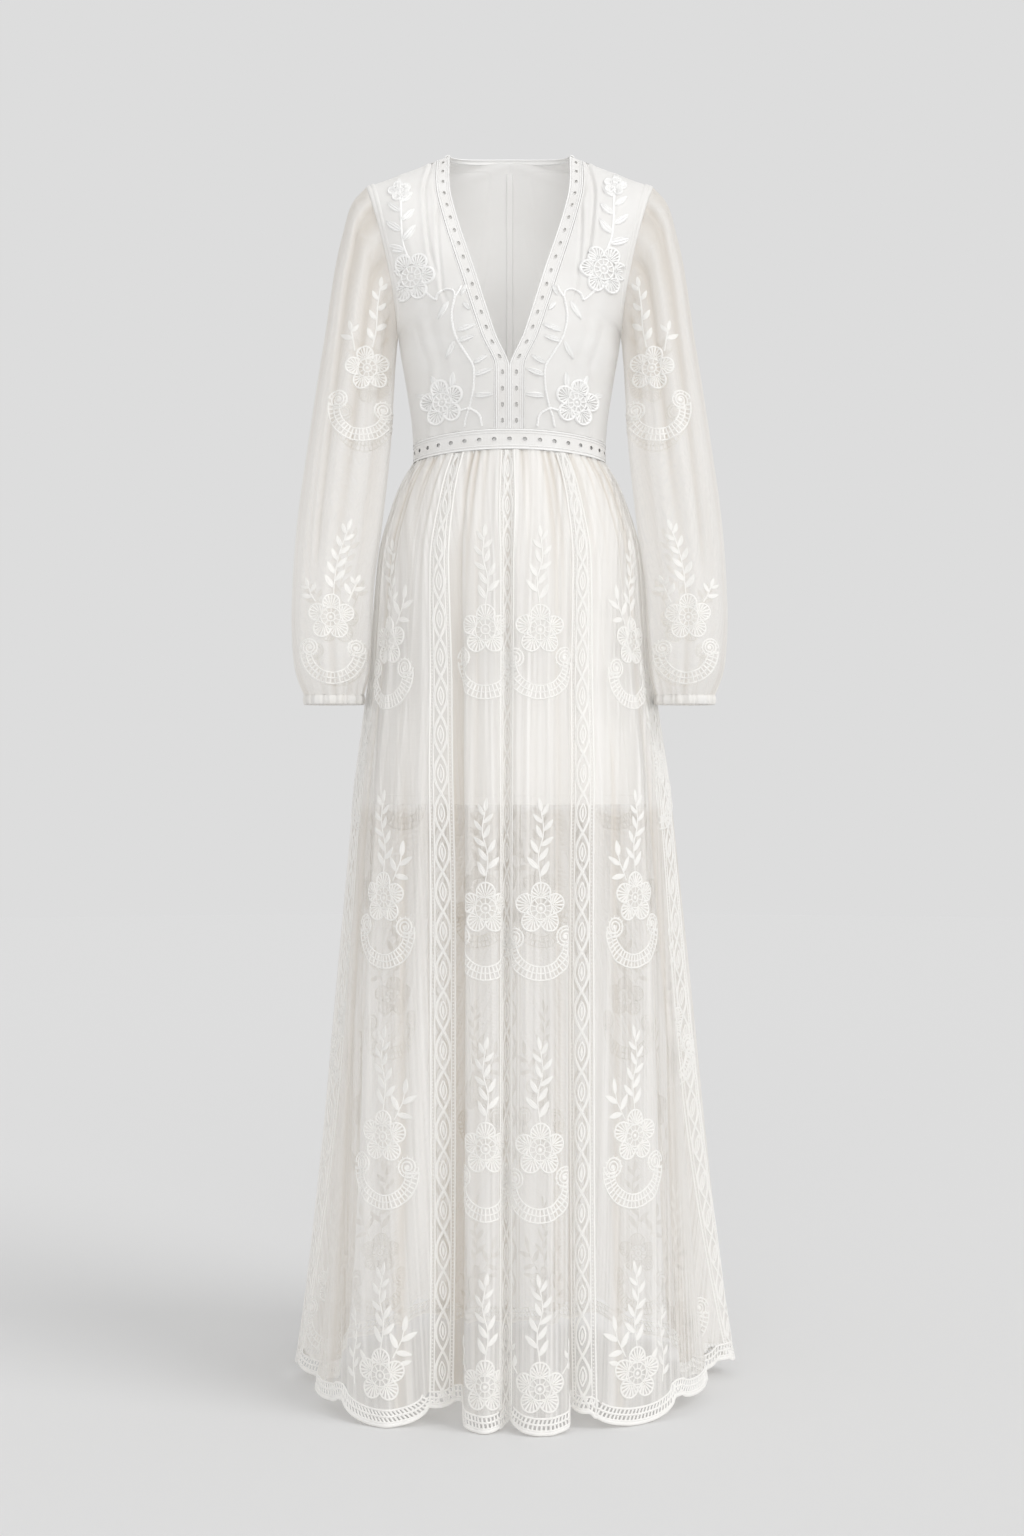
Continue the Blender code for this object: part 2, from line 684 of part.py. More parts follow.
def slip_pieces():
    shares = np.linspace(0, 1, SLIP_STRIPS + 1)
    for name in ("slip_front", "slip_back"):
        outer = []
        inner = []
        for z in SLIP_ROWS:
            ring = level_ring(SLIP, z * MM, False)
            start = length_at(ring, -90)
            end = length_at(ring, 90)
            if name == "slip_back":
                start, end = end, start + ring["run"][-1]
            points, inward = on_ring(ring, start + HALF_SEAM + (end - start - SEAM) * shares)
            level = np.full((len(points), 1), ring["z"])
            outer.append(np.hstack([points, level]))
            inner.append(np.hstack([points + inward * SLIP_WALL, level]))
        wall(name, np.array(outer), np.array(inner), LINING_CLOTH)


def waistband():
    """One strip all round, which meets itself at the centre back."""
    grid = []
    inner = []
    for z in (WAIST_TOP, WAIST_BOTTOM):
        ring = level_ring(SKIRT, WAIST_BOTTOM, False)
        lengths = np.linspace(HALF_SEAM, ring["run"][-1] - HALF_SEAM, WAIST_STRIPS + 1)
        points, inward = on_ring(ring, lengths)
        level = np.full((len(points), 1), z)
        grid.append(np.hstack([points, level]))
        inner.append(np.hstack([points + inward * WAIST_WALL, level]))
    wall("waistband", np.array(grid), np.array(inner), TRIM_CLOTH)


# ---------------------------------------------------------------- solids


def material(cloth):
    found = bpy.data.materials.get(cloth.name)
    if found:
        return found
    made = bpy.data.materials.new(cloth.name)
    made.use_nodes = True
    shader = made.node_tree.nodes["Principled BSDF"]
    shader.inputs["Base Color"].default_value = (*cloth.colour, 1)
    shader.inputs["Roughness"].default_value = cloth.roughness
    shader.inputs["Metallic"].default_value = 0
    return made


def wall(name, outer, inner, cloth, ring=False):
    """A closed solid between two grids of points. A ring's last column meets its first."""
    rows, columns = outer.shape[:2]
    shape = bmesh.new()
    sides = [[[shape.verts.new(point) for point in row] for row in grid] for grid in (outer, inner)]
    last = columns if ring else columns - 1
    for grid in sides:
        for i in range(rows - 1):
            for j in range(last):
                k = (j + 1) % columns
                shape.faces.new((grid[i][j], grid[i][k], grid[i + 1][k]))
                shape.faces.new((grid[i][j], grid[i + 1][k], grid[i + 1][j]))
    front, back = sides
    for i in (0, rows - 1):
        for j in range(last):
            k = (j + 1) % columns
            shape.faces.new((front[i][j], front[i][k], back[i][k], back[i][j]))
    if not ring:
        for j in (0, columns - 1):
            for i in range(rows - 1):
                shape.faces.new((front[i][j], front[i + 1][j], back[i + 1][j], back[i][j]))
    bmesh.ops.recalc_face_normals(shape, faces=shape.faces)
    mesh = bpy.data.meshes.new(name)
    shape.to_mesh(mesh)
    shape.free()
    mesh.shade_smooth()
    mesh.set_sharp_from_angle(angle=SHARP_ANGLE)
    mesh.materials.append(material(cloth))
    bpy.context.scene.collection.objects.link(bpy.data.objects.new(name, mesh))


def main():
    for old in list(bpy.data.objects):
        bpy.data.objects.remove(old)
    bodice_pieces()
    armhole_bands()
    back_neck_binding()
    sleeves_and_cuffs()
    waistband()
    skirt_pieces()
    slip_pieces()


main()
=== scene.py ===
"""The looks of the evening gown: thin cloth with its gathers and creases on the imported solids' form, eyelet
trims, lace bands, raised embroidery, a scalloped hem border, and a plain studio.

Metres, +Z up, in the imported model's frame: the front faces -Y and the wearer's left is +X. A Surface is a
grid of points that the cloth and everything stitched on it are read from.
"""

from collections import namedtuple

import bpy
import numpy as np
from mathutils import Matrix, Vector
from mathutils.bvhtree import BVHTree


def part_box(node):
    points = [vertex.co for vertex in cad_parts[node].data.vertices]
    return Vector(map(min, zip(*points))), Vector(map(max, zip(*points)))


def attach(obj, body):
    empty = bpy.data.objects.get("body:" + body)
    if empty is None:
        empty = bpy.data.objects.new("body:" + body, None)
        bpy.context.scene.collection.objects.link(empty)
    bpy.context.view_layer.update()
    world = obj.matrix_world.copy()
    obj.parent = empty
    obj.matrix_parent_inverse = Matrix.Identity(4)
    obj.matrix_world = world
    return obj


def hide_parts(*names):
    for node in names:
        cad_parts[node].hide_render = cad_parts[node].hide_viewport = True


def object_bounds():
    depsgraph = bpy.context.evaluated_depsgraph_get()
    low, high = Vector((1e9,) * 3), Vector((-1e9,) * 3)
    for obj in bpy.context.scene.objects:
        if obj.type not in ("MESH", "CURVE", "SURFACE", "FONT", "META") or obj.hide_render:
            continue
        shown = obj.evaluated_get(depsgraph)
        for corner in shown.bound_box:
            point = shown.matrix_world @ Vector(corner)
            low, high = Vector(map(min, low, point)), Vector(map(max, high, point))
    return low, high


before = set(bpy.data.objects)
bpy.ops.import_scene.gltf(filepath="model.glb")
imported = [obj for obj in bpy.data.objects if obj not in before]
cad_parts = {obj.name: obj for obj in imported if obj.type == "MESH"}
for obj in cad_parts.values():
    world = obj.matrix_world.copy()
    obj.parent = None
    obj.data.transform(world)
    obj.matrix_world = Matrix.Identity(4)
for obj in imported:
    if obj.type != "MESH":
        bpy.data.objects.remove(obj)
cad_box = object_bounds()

MM = 0.001


def table(columns, *rows):
    """A short table, whose values are read by the names of its columns. Its lengths are in millimetres."""
    row = namedtuple("Row", columns)
    return tuple(row(*values) for values in rows)


def mm(values):
    """Lengths in metres from lengths in millimetres."""
    return np.array(values, float) * MM


# ---------------------------------------------------------------- the gown's form

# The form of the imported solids, but for the V, which ends up to 10 mm lower here.

TRIM_WIDTH = 16.5 * MM
BINDING_WIDTH = 6 * MM
ARMHOLE_BAND_WIDTH = 11 * MM
TAPE_WIDTH = 9 * MM
LINING_DEPTH = 1.3 * MM
SHOULDER_DROP = 39 * MM
NECK_HALF_WIDTH = 73 * MM
SHOULDER_HALF_WIDTH = 175 * MM
SHOULDER_Y = 4 * MM
BACK_NECK_Y = 50 * MM
BACK_NECK_RISE = 7 * MM
ARMPIT_Z = -212 * MM
ARMPIT_HALF_WIDTH = 135 * MM
ARMHOLE_HALF_DEPTH = 50 * MM
ARMHOLE_INSET = 5 * MM
ARMPIT_WAY = np.array([0, 0, -1])
CHEST_WAY = np.array([-0.65, -0.76, 0])
BACK_WAY = np.array([-0.65, 0.76, 0])
NAPE_WAY = np.array([0, 0.55, -0.83])
WAIST_TOP = float(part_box("waistband")[1][2])
WAIST_BOTTOM = float(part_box("waistband")[0][2])
CUFF_BOTTOM = float(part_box("cuff_left")[0][2])
HEM = float(cad_box[0][2])

MIDDLE = table(
    "z front_y front_x back_y",
    (-346, -88, 0, 80),
    (-310, -99, 0, 82),
    (-273, -105, 0, 86),
    (-264, -105, 6.5, 87),
    (-232, -104, 17.5, 92),
    (-192, -97, 30.5, 98),
    (-152, -84, 42.5, 101),
    (-115, -68, 54.5, 101),
    (-79, -50, 65, 97),
    (-38, -26, 72.5, 81),
    (-13, -8, 73, 62),
    (0, 4, 73, 52),
)
SIDE_SEAM = table(
    "z half_width",
    (-346, 117),
    (-318, 119.5),
    (-291, 124),
    (-266, 128.5),
    (-244, 132.5),
    (-223, 135),
)
SECTIONS = table(
    "name front_z back_z back_turn side_z armhole_angle front_leave front_meet back_leave back_meet",
    ("waist", -345.7, -345.7, 0, -345.7, None, 0, 90, 0, 90),
    ("ribs", -320, -318, 0, -318, None, 0, 90, 0, 90),
    ("under_v", -295, -291, 0, -291, None, -2, 90, 0, 90),
    ("v_point", -273, -266, 0, -266, None, -3, 89, -2, 89),
    ("bust", -238, -236, 0, -244, None, -5, 87, -3, 88),
    ("armpit", -202, -202, 0, None, 180, -6, 84, -3, 84),
    ("side_chest", -180, -168, 0, None, 156, -6, 73, -4, 75),
    ("low_chest", -156, -134, 0, None, 132, -6, 60, -4, 64),
    ("mid_chest", -130, -98, 0, None, 108, -8, 50, -4, 56),
    ("chest", -103, -64, 0, None, 84, -10, 42, -4, 47),
    ("high_chest", -76, -32, 0, None, 62, -10, 32, -4, 38),
    ("collarbone", -51, None, 0, None, 42, -9, 22, -6, 29),
    ("yoke", -31, None, 32, None, 24, -7, 12, -6, 16),
    ("top_yoke", -14, None, 62, None, 11, -3, 5, -3, 7),
    ("shoulder", 0, None, 90, None, 0, 0, 0, 0, 0),
)
SECTION_REACH = 0.38
SECTION_SAMPLES = 120

SLEEVE = table(
    "outer_x outer_z inner_x inner_z half_depth mid_y",
    (190, -56, 137.5, -226, 53, 3),
    (204, -100, 139.5, -250, 56, 1),
    (226, -231, 141.5, -296, 54, -5),
    (244, -350, 144.5, -360, 50, -12),
    (257.5, -455, 154.5, -455, 50, -20),
    (262, -525, 163.5, -525, 51, -26),
    (262.5, -585, 166, -585, 50, -31),
    (257, -634, 168.5, -632, 43, -34),
    (247, -660, 175, -660, 31, -36),
)
SKIRT = table(
    "z half_width front back",
    (-370, 117, 88, 80),
    (-396, 131, 97, 92),
    (-434, 144.5, 109, 108),
    (-485, 157.5, 123, 126),
    (-573, 164.5, 142, 147),
    (-640, 169, 155, 160),
    (-690, 175, 166, 170),
    (-750, 182.5, 177, 180),
    (-825, 188.5, 188, 190),
    (-900, 194, 197, 198),
    (-1050, 204.5, 210, 210),
    (-1200, 213, 222, 222),
    (-1320, 221, 231, 231),
    (-1400, 228, 236, 236),
    (-1486, 238, 241, 241),
)
SLIP = table(
    "z half_width front back",
    (-370, 114, 85, 77),
    (-396, 124, 91, 86),
    (-434, 135, 98, 97),
    (-485, 145, 108, 110),
    (-573, 154, 120, 125),
    (-690, 160, 132, 136),
    (-790, 165, 141, 144),
)
# The skirt's large folds, from the centre front round by the wearer's left: the angle of each at the hip,
# the knee and the hem, and how far it stands out there, or in where that is negative.
FOLDS = table(
    "hip knee hem hip_out knee_out hem_out",
    (-1, -1, -1, -8, -12, -10),
    (2.6, 1.9, 1.3, 2, 6, 8),
    (12.6, 9.7, 7.4, 2, 12, 25),
    (24, 18.5, 14.8, 1, 8, 17),
    (28, 21, 17.5, -4, -6, -8),
    (32, 24, 19.7, 0, 3, 7),
    (52, 45, 34, 0, 7, 22),
    (60, 56, 46, 0, 9, 24),
    (67, 67, 66, 1, 7, 19),
    (74, 75, 77.5, 0, -9, -27),
    (93, 92, 92, 3, 17, 40),
    (108, 109, 110, -1, -9, -22),
    (124, 125, 126, 1, 9, 22),
    (136, 138, 139, -1, -6, -14),
    (148, 151, 153, 1, 10, 24),
    (158, 161, 164, -3, -10, -24),
    (168, 170, 172, 1, 8, 18),
    (180, 180, 180, -3, -6, -8),
    (-167, -169, -171, 1, 8, 20),
    (-157, -160, -163, -3, -11, -26),
    (-147, -150, -152, 1, 9, 22),
    (-137, -138, -139, -1, -6, -15),
    (-125, -126, -127, 1, 10, 24),
    (-109, -109, -109, -1, -8, -20),
    (-93, -92, -90, 1, 8, 25),
    (-75, -74, -71.5, 0, -9, -24),
    (-67, -64, -59, 0, 10, 26),
    (-60, -55, -43.5, 0, 12, 33),
    (-52, -43, -32.3, 0, 11, 30),
    (-32, -23.2, -21, 0, -6, -17),
    (-22.5, -16.9, -16, -7, -20, -38),
    (-18, -13.7, -11.6, 2, 4, 4),
    (-10, -7.6, -6.2, 2, 8, 16),
    (-4.6, -3.9, -3.3, 2, 6, 8),
)
HIP = -500 * MM
KNEE = -950 * MM
FOLDS_START = -420 * MM
BANDS = table(
    "name hip knee hem",
    ("band_front", -1, -1, -1),
    ("band_front_left", 32.5, 24.2, 19.8),
    ("band_side_left", 84, 84, 91),
    ("band_back_left", 148, 153, 158),
    ("band_back", 180, 180, 180),
    ("band_back_right", -148, -153, -158),
    ("band_side_right", -84, -84, -89),
    ("band_front_right", -31.5, -23.2, -20.5),
)
BAND_WIDTH = table(
    "z width",
    (-370, 17),
    (-434, 21),
    (-500, 25),
    (-640, 28),
    (-790, 30),
    (-950, 31),
    (-1486, 32),
)
PANEL_PARTS = ("front", "side_front", "side_back", "back")
PANELS = [f"mesh_{part}_left" for part in PANEL_PARTS] + [f"mesh_{part}_right" for part in reversed(PANEL_PARTS)]
SCALLOPS = table(
    "angle width depth",
    (8.6, 100, 20),
    (34, 112, 20),
    (57, 66, 6),
    (80, 78, 12),
    (101, 78, 12),
    (126, 112, 16),
    (145, 70, 8),
    (170, 118, 16),
    (-170, 118, 16),
    (-145, 70, 8),
    (-126, 112, 16),
    (-101, 78, 12),
    (-79, 78, 12),
    (-53, 62, 6),
    (-32.3, 112, 20),
    (-7.2, 96, 20),
)
BAND_SCALLOP_DEPTH = 4 * MM
SCALLOP_TOP = 20 * MM


def unit(vectors):
    return vectors / np.maximum(np.linalg.norm(vectors, axis=-1, keepdims=True), 1e-12)


def pointing(turn):
    """The flat directions at angles in radians."""
    return np.stack([np.cos(turn), np.sin(turn)], axis=-1)


def travelled(points, axis=0):
    """How far along its line each point lies."""
    steps = np.linalg.norm(np.diff(points, axis=axis), axis=-1)
    return np.concatenate([0 * np.take(steps, [0], axis), np.cumsum(steps, axis=axis)], axis=axis)


def cubic(values, slopes, i, t, step):
    """A smooth curve through values with a slope for each, at a share t of the step that follows the i-th."""
    return (
        values[i] * (1 + 2 * t) * (1 - t) ** 2
        + slopes[i] * step * t * (1 - t) ** 2
        + values[i + 1] * t**2 * (3 - 2 * t)
        + slopes[i + 1] * step * t**2 * (t - 1)
    )


def smooth_curve(known, values, at):
    """A curve through the given values that never runs past them between two of them."""
    steps = np.diff(known)
    slopes = np.diff(values) / steps
    first = 2 * steps[1:] + steps[:-1]
    second = steps[1:] + 2 * steps[:-1]
    same = slopes[:-1] * slopes[1:] > 0
    low, high = np.where(same, slopes[:-1], 1), np.where(same, slopes[1:], 1)
    inner = np.where(same, (first + second) / (first / low + second / high), 0)
    at = np.clip(at, known[0], known[-1])
    i = np.clip(np.searchsorted(known, at, side="right") - 1, 0, len(known) - 2)
    return cubic(values, np.concatenate([slopes[:1], inner, slopes[-1:]]), i, (at - known[i]) / steps[i], steps[i])


def table_curve(rows, column, at):
    """The smooth curve through one column of a table of heights, read at heights in metres."""
    rows = sorted(rows)
    known = np.array([row.z for row in rows]) * MM
    values = np.array([getattr(row, column) for row in rows], float) * MM
    return smooth_curve(known, values, at)


def between_levels(z, hip, knee, hem):
    """A smooth value at a height, from its values at the hip, the knee and the hem."""
    return smooth_curve(np.array([HEM, KNEE, HIP]), np.array([hem, knee, hip], float), z)


def line_angle(row, z):
    """The angle at a height of a row of the folds or of the bands."""
    return between_levels(z, row.hip, row.knee, row.hem)


def armhole(angle, width=0.0):
    """The armhole's edge on the wearer's left: 0 is the shoulder, 90 the front and 180 the armpit."""
    turn = np.radians(angle)
    top = -SHOULDER_DROP
    z = (top + ARMPIT_Z) / 2 + (top - ARMPIT_Z) / 2 * np.cos(turn)
    lean = (z - ARMPIT_Z) / (top - ARMPIT_Z)
    x = ARMPIT_HALF_WIDTH + (SHOULDER_HALF_WIDTH - ARMPIT_HALF_WIDTH) * lean
    x -= ARMHOLE_INSET * np.sin(turn) ** 2
    y = SHOULDER_Y - ARMHOLE_HALF_DEPTH * np.sin(turn)
    up = unit(np.array([NECK_HALF_WIDTH - SHOULDER_HALF_WIDTH, 0, SHOULDER_DROP]))
    parts = ((up, np.cos(turn)), (ARMPIT_WAY, -np.cos(turn)), (CHEST_WAY, np.sin(turn)), (BACK_WAY, -np.sin(turn)))
    outward = sum(way * max(share, 0) ** 2 for way, share in parts)
    return np.array([x, y, z]) + width * unit(outward)


def back_neck(turn, width=0.0):
    """The back neckline at 0 at the centre back and 90 at the shoulder seam, moved down by a width."""
    a = np.radians(turn)
    y = SHOULDER_Y + (BACK_NECK_Y - SHOULDER_Y) * np.cos(a)
    slope = unit(np.array([SHOULDER_HALF_WIDTH - NECK_HALF_WIDTH, 0, -SHOULDER_DROP]))
    outward = NAPE_WAY * np.cos(a) ** 2 + slope * np.sin(a) ** 2
    return np.array([NECK_HALF_WIDTH * np.sin(a), y, BACK_NECK_RISE * np.cos(a) ** 2]) + width * unit(outward)


def section_ends(row, front):
    """The two ends of a section of the bodice on the wearer's left, inner and outer."""
    if front:
        z = row.front_z * MM
        start = np.array([table_curve(MIDDLE, "front_x", z), table_curve(MIDDLE, "front_y", z), z])
    elif row.back_z is None:
        start = back_neck(row.back_turn, BINDING_WIDTH)
    else:
        start = np.array([0, table_curve(MIDDLE, "back_y", row.back_z * MM), row.back_z * MM])
    if row.armhole_angle is None:
        side_z = row.side_z * MM
        end = np.array([table_curve(SIDE_SEAM, "half_width", side_z), 0, side_z])
    else:
        end = armhole(row.armhole_angle if front else -row.armhole_angle, ARMHOLE_BAND_WIDTH)
    if row.name == "shoulder":
        start[1] = SHOULDER_Y
    return start, end


def section_curve(row, front):
    """A section of the bodice on the wearer's left, as points from the neck edge to its outer edge."""
    start, end = section_ends(row, front)
    if row.name == "shoulder":
        return np.linspace(start, end, SECTION_SAMPLES)
    towards = -1 if front else 1
    chord = end - start
    reach = SECTION_REACH * np.hypot(chord[0], chord[1])
    leave, meet = (row.front_leave, row.front_meet) if front else (row.back_leave, row.back_meet)
    leave, meet = (pointing(np.radians(turn)) * reach for turn in (leave, meet))
    lift = chord[2] * SECTION_REACH
    first = start + np.array([leave[0], -towards * leave[1], lift])
    second = end - np.array([meet[0], -towards * meet[1], lift])
    t = np.linspace(0, 1, SECTION_SAMPLES)[:, None]
    start_part = (1 - t) ** 3 * start + 3 * t * (1 - t) ** 2 * first
    return start_part + 3 * t**2 * (1 - t) * second + t**3 * end


# ---------------------------------------------------------------- surfaces


class Surface:
    """A grid of points, rows from the top down, with the way out, the length along each row from a zero
    column, how far down each row lies, and its look: how dense the cloth is and how much painted shade darkens its
    colour."""

    def __init__(self, points, down, zero=0, outward=1, relief=None):
        run = travelled(points, axis=1)
        self.run, self.down, self.outward = run - run[:, zero : zero + 1], down, outward
        if relief is not None:
            points = points + self.find_normals(points) * relief[..., None]
        self.points, self.normals = points, self.find_normals(points)
        self.columns = np.arange(points.shape[1], dtype=float)
        self.look = np.zeros((*run.shape, 2))

    def find_normals(self, points):
        around, down = np.gradient(points, axis=1), np.gradient(points, axis=0)
        return unit(np.cross(down, around)) * self.outward

    def row_at(self, down):
        return np.interp(down, self.down, np.arange(len(self.down)))

    def column_at(self, row, length):
        """The column at a length along a row. Both are arrays of one shape."""
        row, length = np.broadcast_arrays(row, length)
        low, share = between(row, len(self.down))
        column = np.zeros(row.shape)
        for step, weight in ((0, 1 - share), (1, share)):
            for i in np.unique(low):
                here = low == i
                column[here] += np.interp(length[here], self.run[i + step], self.columns) * weight[here]
        return column

    def length_at(self, row, column):
        return self.blend(self.run[..., None], row, column)[..., 0]

    def blend(self, values, row, column):
        row, column = np.broadcast_arrays(row, column)
        (low, down), (left, across) = between(row, len(self.down)), between(column, len(self.columns))
        down, across = down[..., None], across[..., None]
        top = values[low, left] * (1 - across) + values[low, left + 1] * across
        bottom = values[low + 1, left] * (1 - across) + values[low + 1, left + 1] * across
        return top * (1 - down) + bottom * down

    def read(self, row, column):
        """Points and outward directions at rows and columns."""
        return self.blend(self.points, row, column), unit(self.blend(self.normals, row, column))


def between(place, count):
    """Which of so many rows or columns comes before a place, and the share of the step from it that is left."""
    low = np.clip(np.floor(place).astype(int), 0, count - 2)
    return low, place - low


def apart(angles, middle):
    """The signed angles in degrees from a middle to other angles."""
    return (angles - middle + 180) % 360 - 180


def ridge(distance, width):
    """The soft cross section of a crease, 1 at its line."""
    return np.exp(-((distance / width) ** 2))


def fade(position, start, end, soft):
    """1 between a start and an end, and falling to 0 over a soft stretch beyond each."""
    rise = np.clip((position - start) / soft + 1, 0, 1)
    fall = np.clip((end - position) / soft + 1, 0, 1)
    return rise * rise * (3 - 2 * rise) * fall * fall * (3 - 2 * fall)


RING_STEP = 0.25
RING_END = 190
ANGLES = np.arange(-RING_END, RING_END + RING_STEP, RING_STEP)


def fold_out(angles, z):
    """How far the folds stand out at the given angles and height."""
    share = MM * np.clip((FOLDS_START - z) / (FOLDS_START - HIP), 0, 1)
    known = np.array([line_angle(row, z) % 360 for row in FOLDS])
    out = share * np.array([between_levels(z, row.hip_out, row.knee_out, row.hem_out) for row in FOLDS])
    order = np.argsort(known)
    known, out = known[order], out[order]
    known = np.concatenate([known[-3:] - 360, known, known[:3] + 360])
    out = np.concatenate([out[-3:], out, out[:3]])
    return smooth_curve(known, out, np.asarray(angles) % 360)


def ring_points(rows, z, folds):
    turn = np.radians(ANGLES)
    half_width = table_curve(rows, "half_width", z)
    depth = np.where(np.cos(turn) > 0, table_curve(rows, "front", z), table_curve(rows, "back", z))
    points = np.stack([half_width * np.sin(turn), -depth * np.cos(turn)], axis=-1)
    if folds:
        radius = np.linalg.norm(points, axis=1, keepdims=True)
        points = points * (1 + fold_out(ANGLES, z)[:, None] / radius)
    return np.column_stack([points, np.full(len(points), z)])


def angle_column(angle):
    return (np.asarray(angle, float) + RING_END) / RING_STEP


# The skirt's long soft creases between its folds: a line of angles at the hip, the knee and the hem, the
# heights between which it shows, its width, and how far it stands out, or in where that is negative.
CREASES = table(
    "hip knee hem top bottom width out",
    (-6.5, -5.6, -5, -430, -900, 4, 1.3),
    (7.5, 5.2, 3.8, -450, -1486, 3.5, 1.5),
    (16, 12.6, 10.4, -520, -1486, 3.5, 1.8),
    (20, 15.6, 12.4, -430, -1300, 4, -1.6),
    (-13.5, -10.6, -8.9, -520, -1486, 4, -1.4),
    (40, 31, 24.6, -430, -1150, 6, 2),
    (46, 37, 29, -760, -1486, 5, -2),
    (58, 51, 40, -600, -1400, 6, 2.2),
    (63, 60, 54, -420, -1000, 7, -2),
    (-39, -30.5, -25, -430, -1250, 6, 2),
    (-45.5, -36.5, -28.6, -800, -1486, 5, -2.2),
    (-57, -49.5, -38, -560, -1350, 6, 2.4),
    (-64, -59, -51, -430, -1486, 6, -2.2),
    (71, 71, 72, -500, -1486, 5, 1.8),
    (-71, -69.5, -66, -500, -1486, 5, 1.8),
    (98, 99, 100, -430, -1486, 6, -2),
    (116, 117, 118, -520, -1400, 6, 2.2),
    (131, 132, 133, -430, -1200, 7, -2.2),
    (163, 165, 167.5, -450, -1486, 6, 2),
    (-98, -99, -99, -430, -1486, 6, -2.2),
    (-117, -117, -118, -560, -1486, 6, 2),
    (-131, -132, -133, -430, -1250, 7, -2),
    (-162, -164, -167, -450, -1486, 6, 2.2),
)
WAIST_DIP = 8 * MM
WAIST_DIP_REACH = 60 * MM
WAIST_HALF_WIDTH = 117 * MM
GATHERS = 62
GATHER_DEPTH = 3 * MM
GATHER_LENGTH = 72 * MM
# Painted shade in the valleys between the folds: it starts where a fold stands in by so much and is full so much
# further in.
VALLEY_SHADE_START = 3 * MM
VALLEY_FULL_SHADE_DEPTH = 11 * MM
GATHER_WIDTH = 75 / GATHERS
PLEATS = 110
PLEAT_OUT = 0.8 * MM
PLEAT_WIDTH = 1.9 * MM
PLEAT_TOP = 0.42
PLEAT_TOP_SPREAD = 0.35
PLEAT_LENGTH = 0.45
PLEAT_SOFT = 0.16
CREASE_SOFT = 0.09
MEAN_RADIUS = 0.2
# How much painted shade darkens the skirt's cloth in its gathers, in its creases and below the slip, and how
# much denser the cloth is at the creases and the sides, where it is seen edge on.
GATHER_PAINTED_SHADE = 1.1
CREASE_PAINTED_SHADE = 0.5
CREASE_FULL_SHADE_DEPTH = 2 * MM
BELOW_SLIP_PAINTED_SHADE = 0.4
BELOW_SLIP_START = 12 * MM
BELOW_SLIP_REACH = 0.17
CREASE_DENSEST = 3 * MM
SIDE_DENSE = 0.6
SIDE_START = 0.85
SLIP_BOTTOM = min(row.z for row in SLIP) * MM
SLIP_WAVES = ((0.0016, 9, 0.6), (0.0012, 14, 2))
SLIP_SMOOTH = 0.2
FINE_ROWS_END = -0.46
FINE_ROW = 0.0035
ROW = 0.0085


def uneven(i, rate, middle=0.0, swing=1.0, start=0.0):
    """A number for the i-th of several folds, which differs from one to the next with no chance in it."""
    return middle + swing * np.sin(rate * i + start)


def gather_relief(z):
    """The fine gathers under the waistband: grooves of uneven place, depth and length."""
    relief = np.zeros((len(z), len(ANGLES)))
    below = (WAIST_BOTTOM - z)[:, None]
    for i in range(GATHERS):
        middle = (i + uneven(i, 2.4, swing=0.33)) * 360 / GATHERS
        out = GATHER_DEPTH * uneven(i, 5.1, 0.75, 0.35, start=1)
        length = GATHER_LENGTH * uneven(i, 1.7, 1.25, 0.75, start=2)
        relief -= out * ridge(apart(ANGLES, middle), GATHER_WIDTH) * np.exp(-((below / length) ** 1.4))
    return relief


def around_skirt(middle):
    """How far each of the skirt's columns lies from a line of angles, at the skirt's mean radius."""
    return np.radians(apart(ANGLES, middle)) * MEAN_RADIUS


def pleat_relief(z):
    """Fine long pleats all round, each with its own height, length and slight lean."""
    relief = np.zeros((len(z), len(ANGLES)))
    for i in range(PLEATS):
        lean = uneven(i, 1.3, swing=1.2) * (z[:, None] - HIP)
        middle = (i + uneven(i, 3.3, swing=0.38)) * 360 / PLEATS + lean
        top = PLEAT_TOP + PLEAT_TOP_SPREAD * uneven(i, 4.7, 0.5, 0.5)
        shows = fade(-z, top, uneven(i, 2.1, top + PLEAT_LENGTH, 0.3), PLEAT_SOFT)[:, None]
        out = PLEAT_OUT * (1 if i % 3 else -1) * uneven(i, 1.9, 0.7, 0.3)
        relief += out * ridge(around_skirt(middle), PLEAT_WIDTH) * shows
    return relief


def crease_relief(z):
    """The long soft creases of the table above."""
    relief = np.zeros((len(z), len(ANGLES)))
    for row in CREASES:
        shows = fade(-z, -row.top * MM, -row.bottom * MM, CREASE_SOFT)[:, None]
        relief += row.out * MM * ridge(around_skirt(line_angle(row, z)[:, None]), row.width * MM) * shows
    return relief


def settled(points):
    """The points with the waist let down at the sides, as the gown hangs."""
    near = np.exp(-(((points[..., 2] - WAIST_TOP) / WAIST_DIP_REACH) ** 2))
    side = np.clip(np.abs(points[..., 0]) / WAIST_HALF_WIDTH, 0, 1) ** 2
    return points - (WAIST_DIP * near * side)[..., None] * np.array([0, 0, 1])


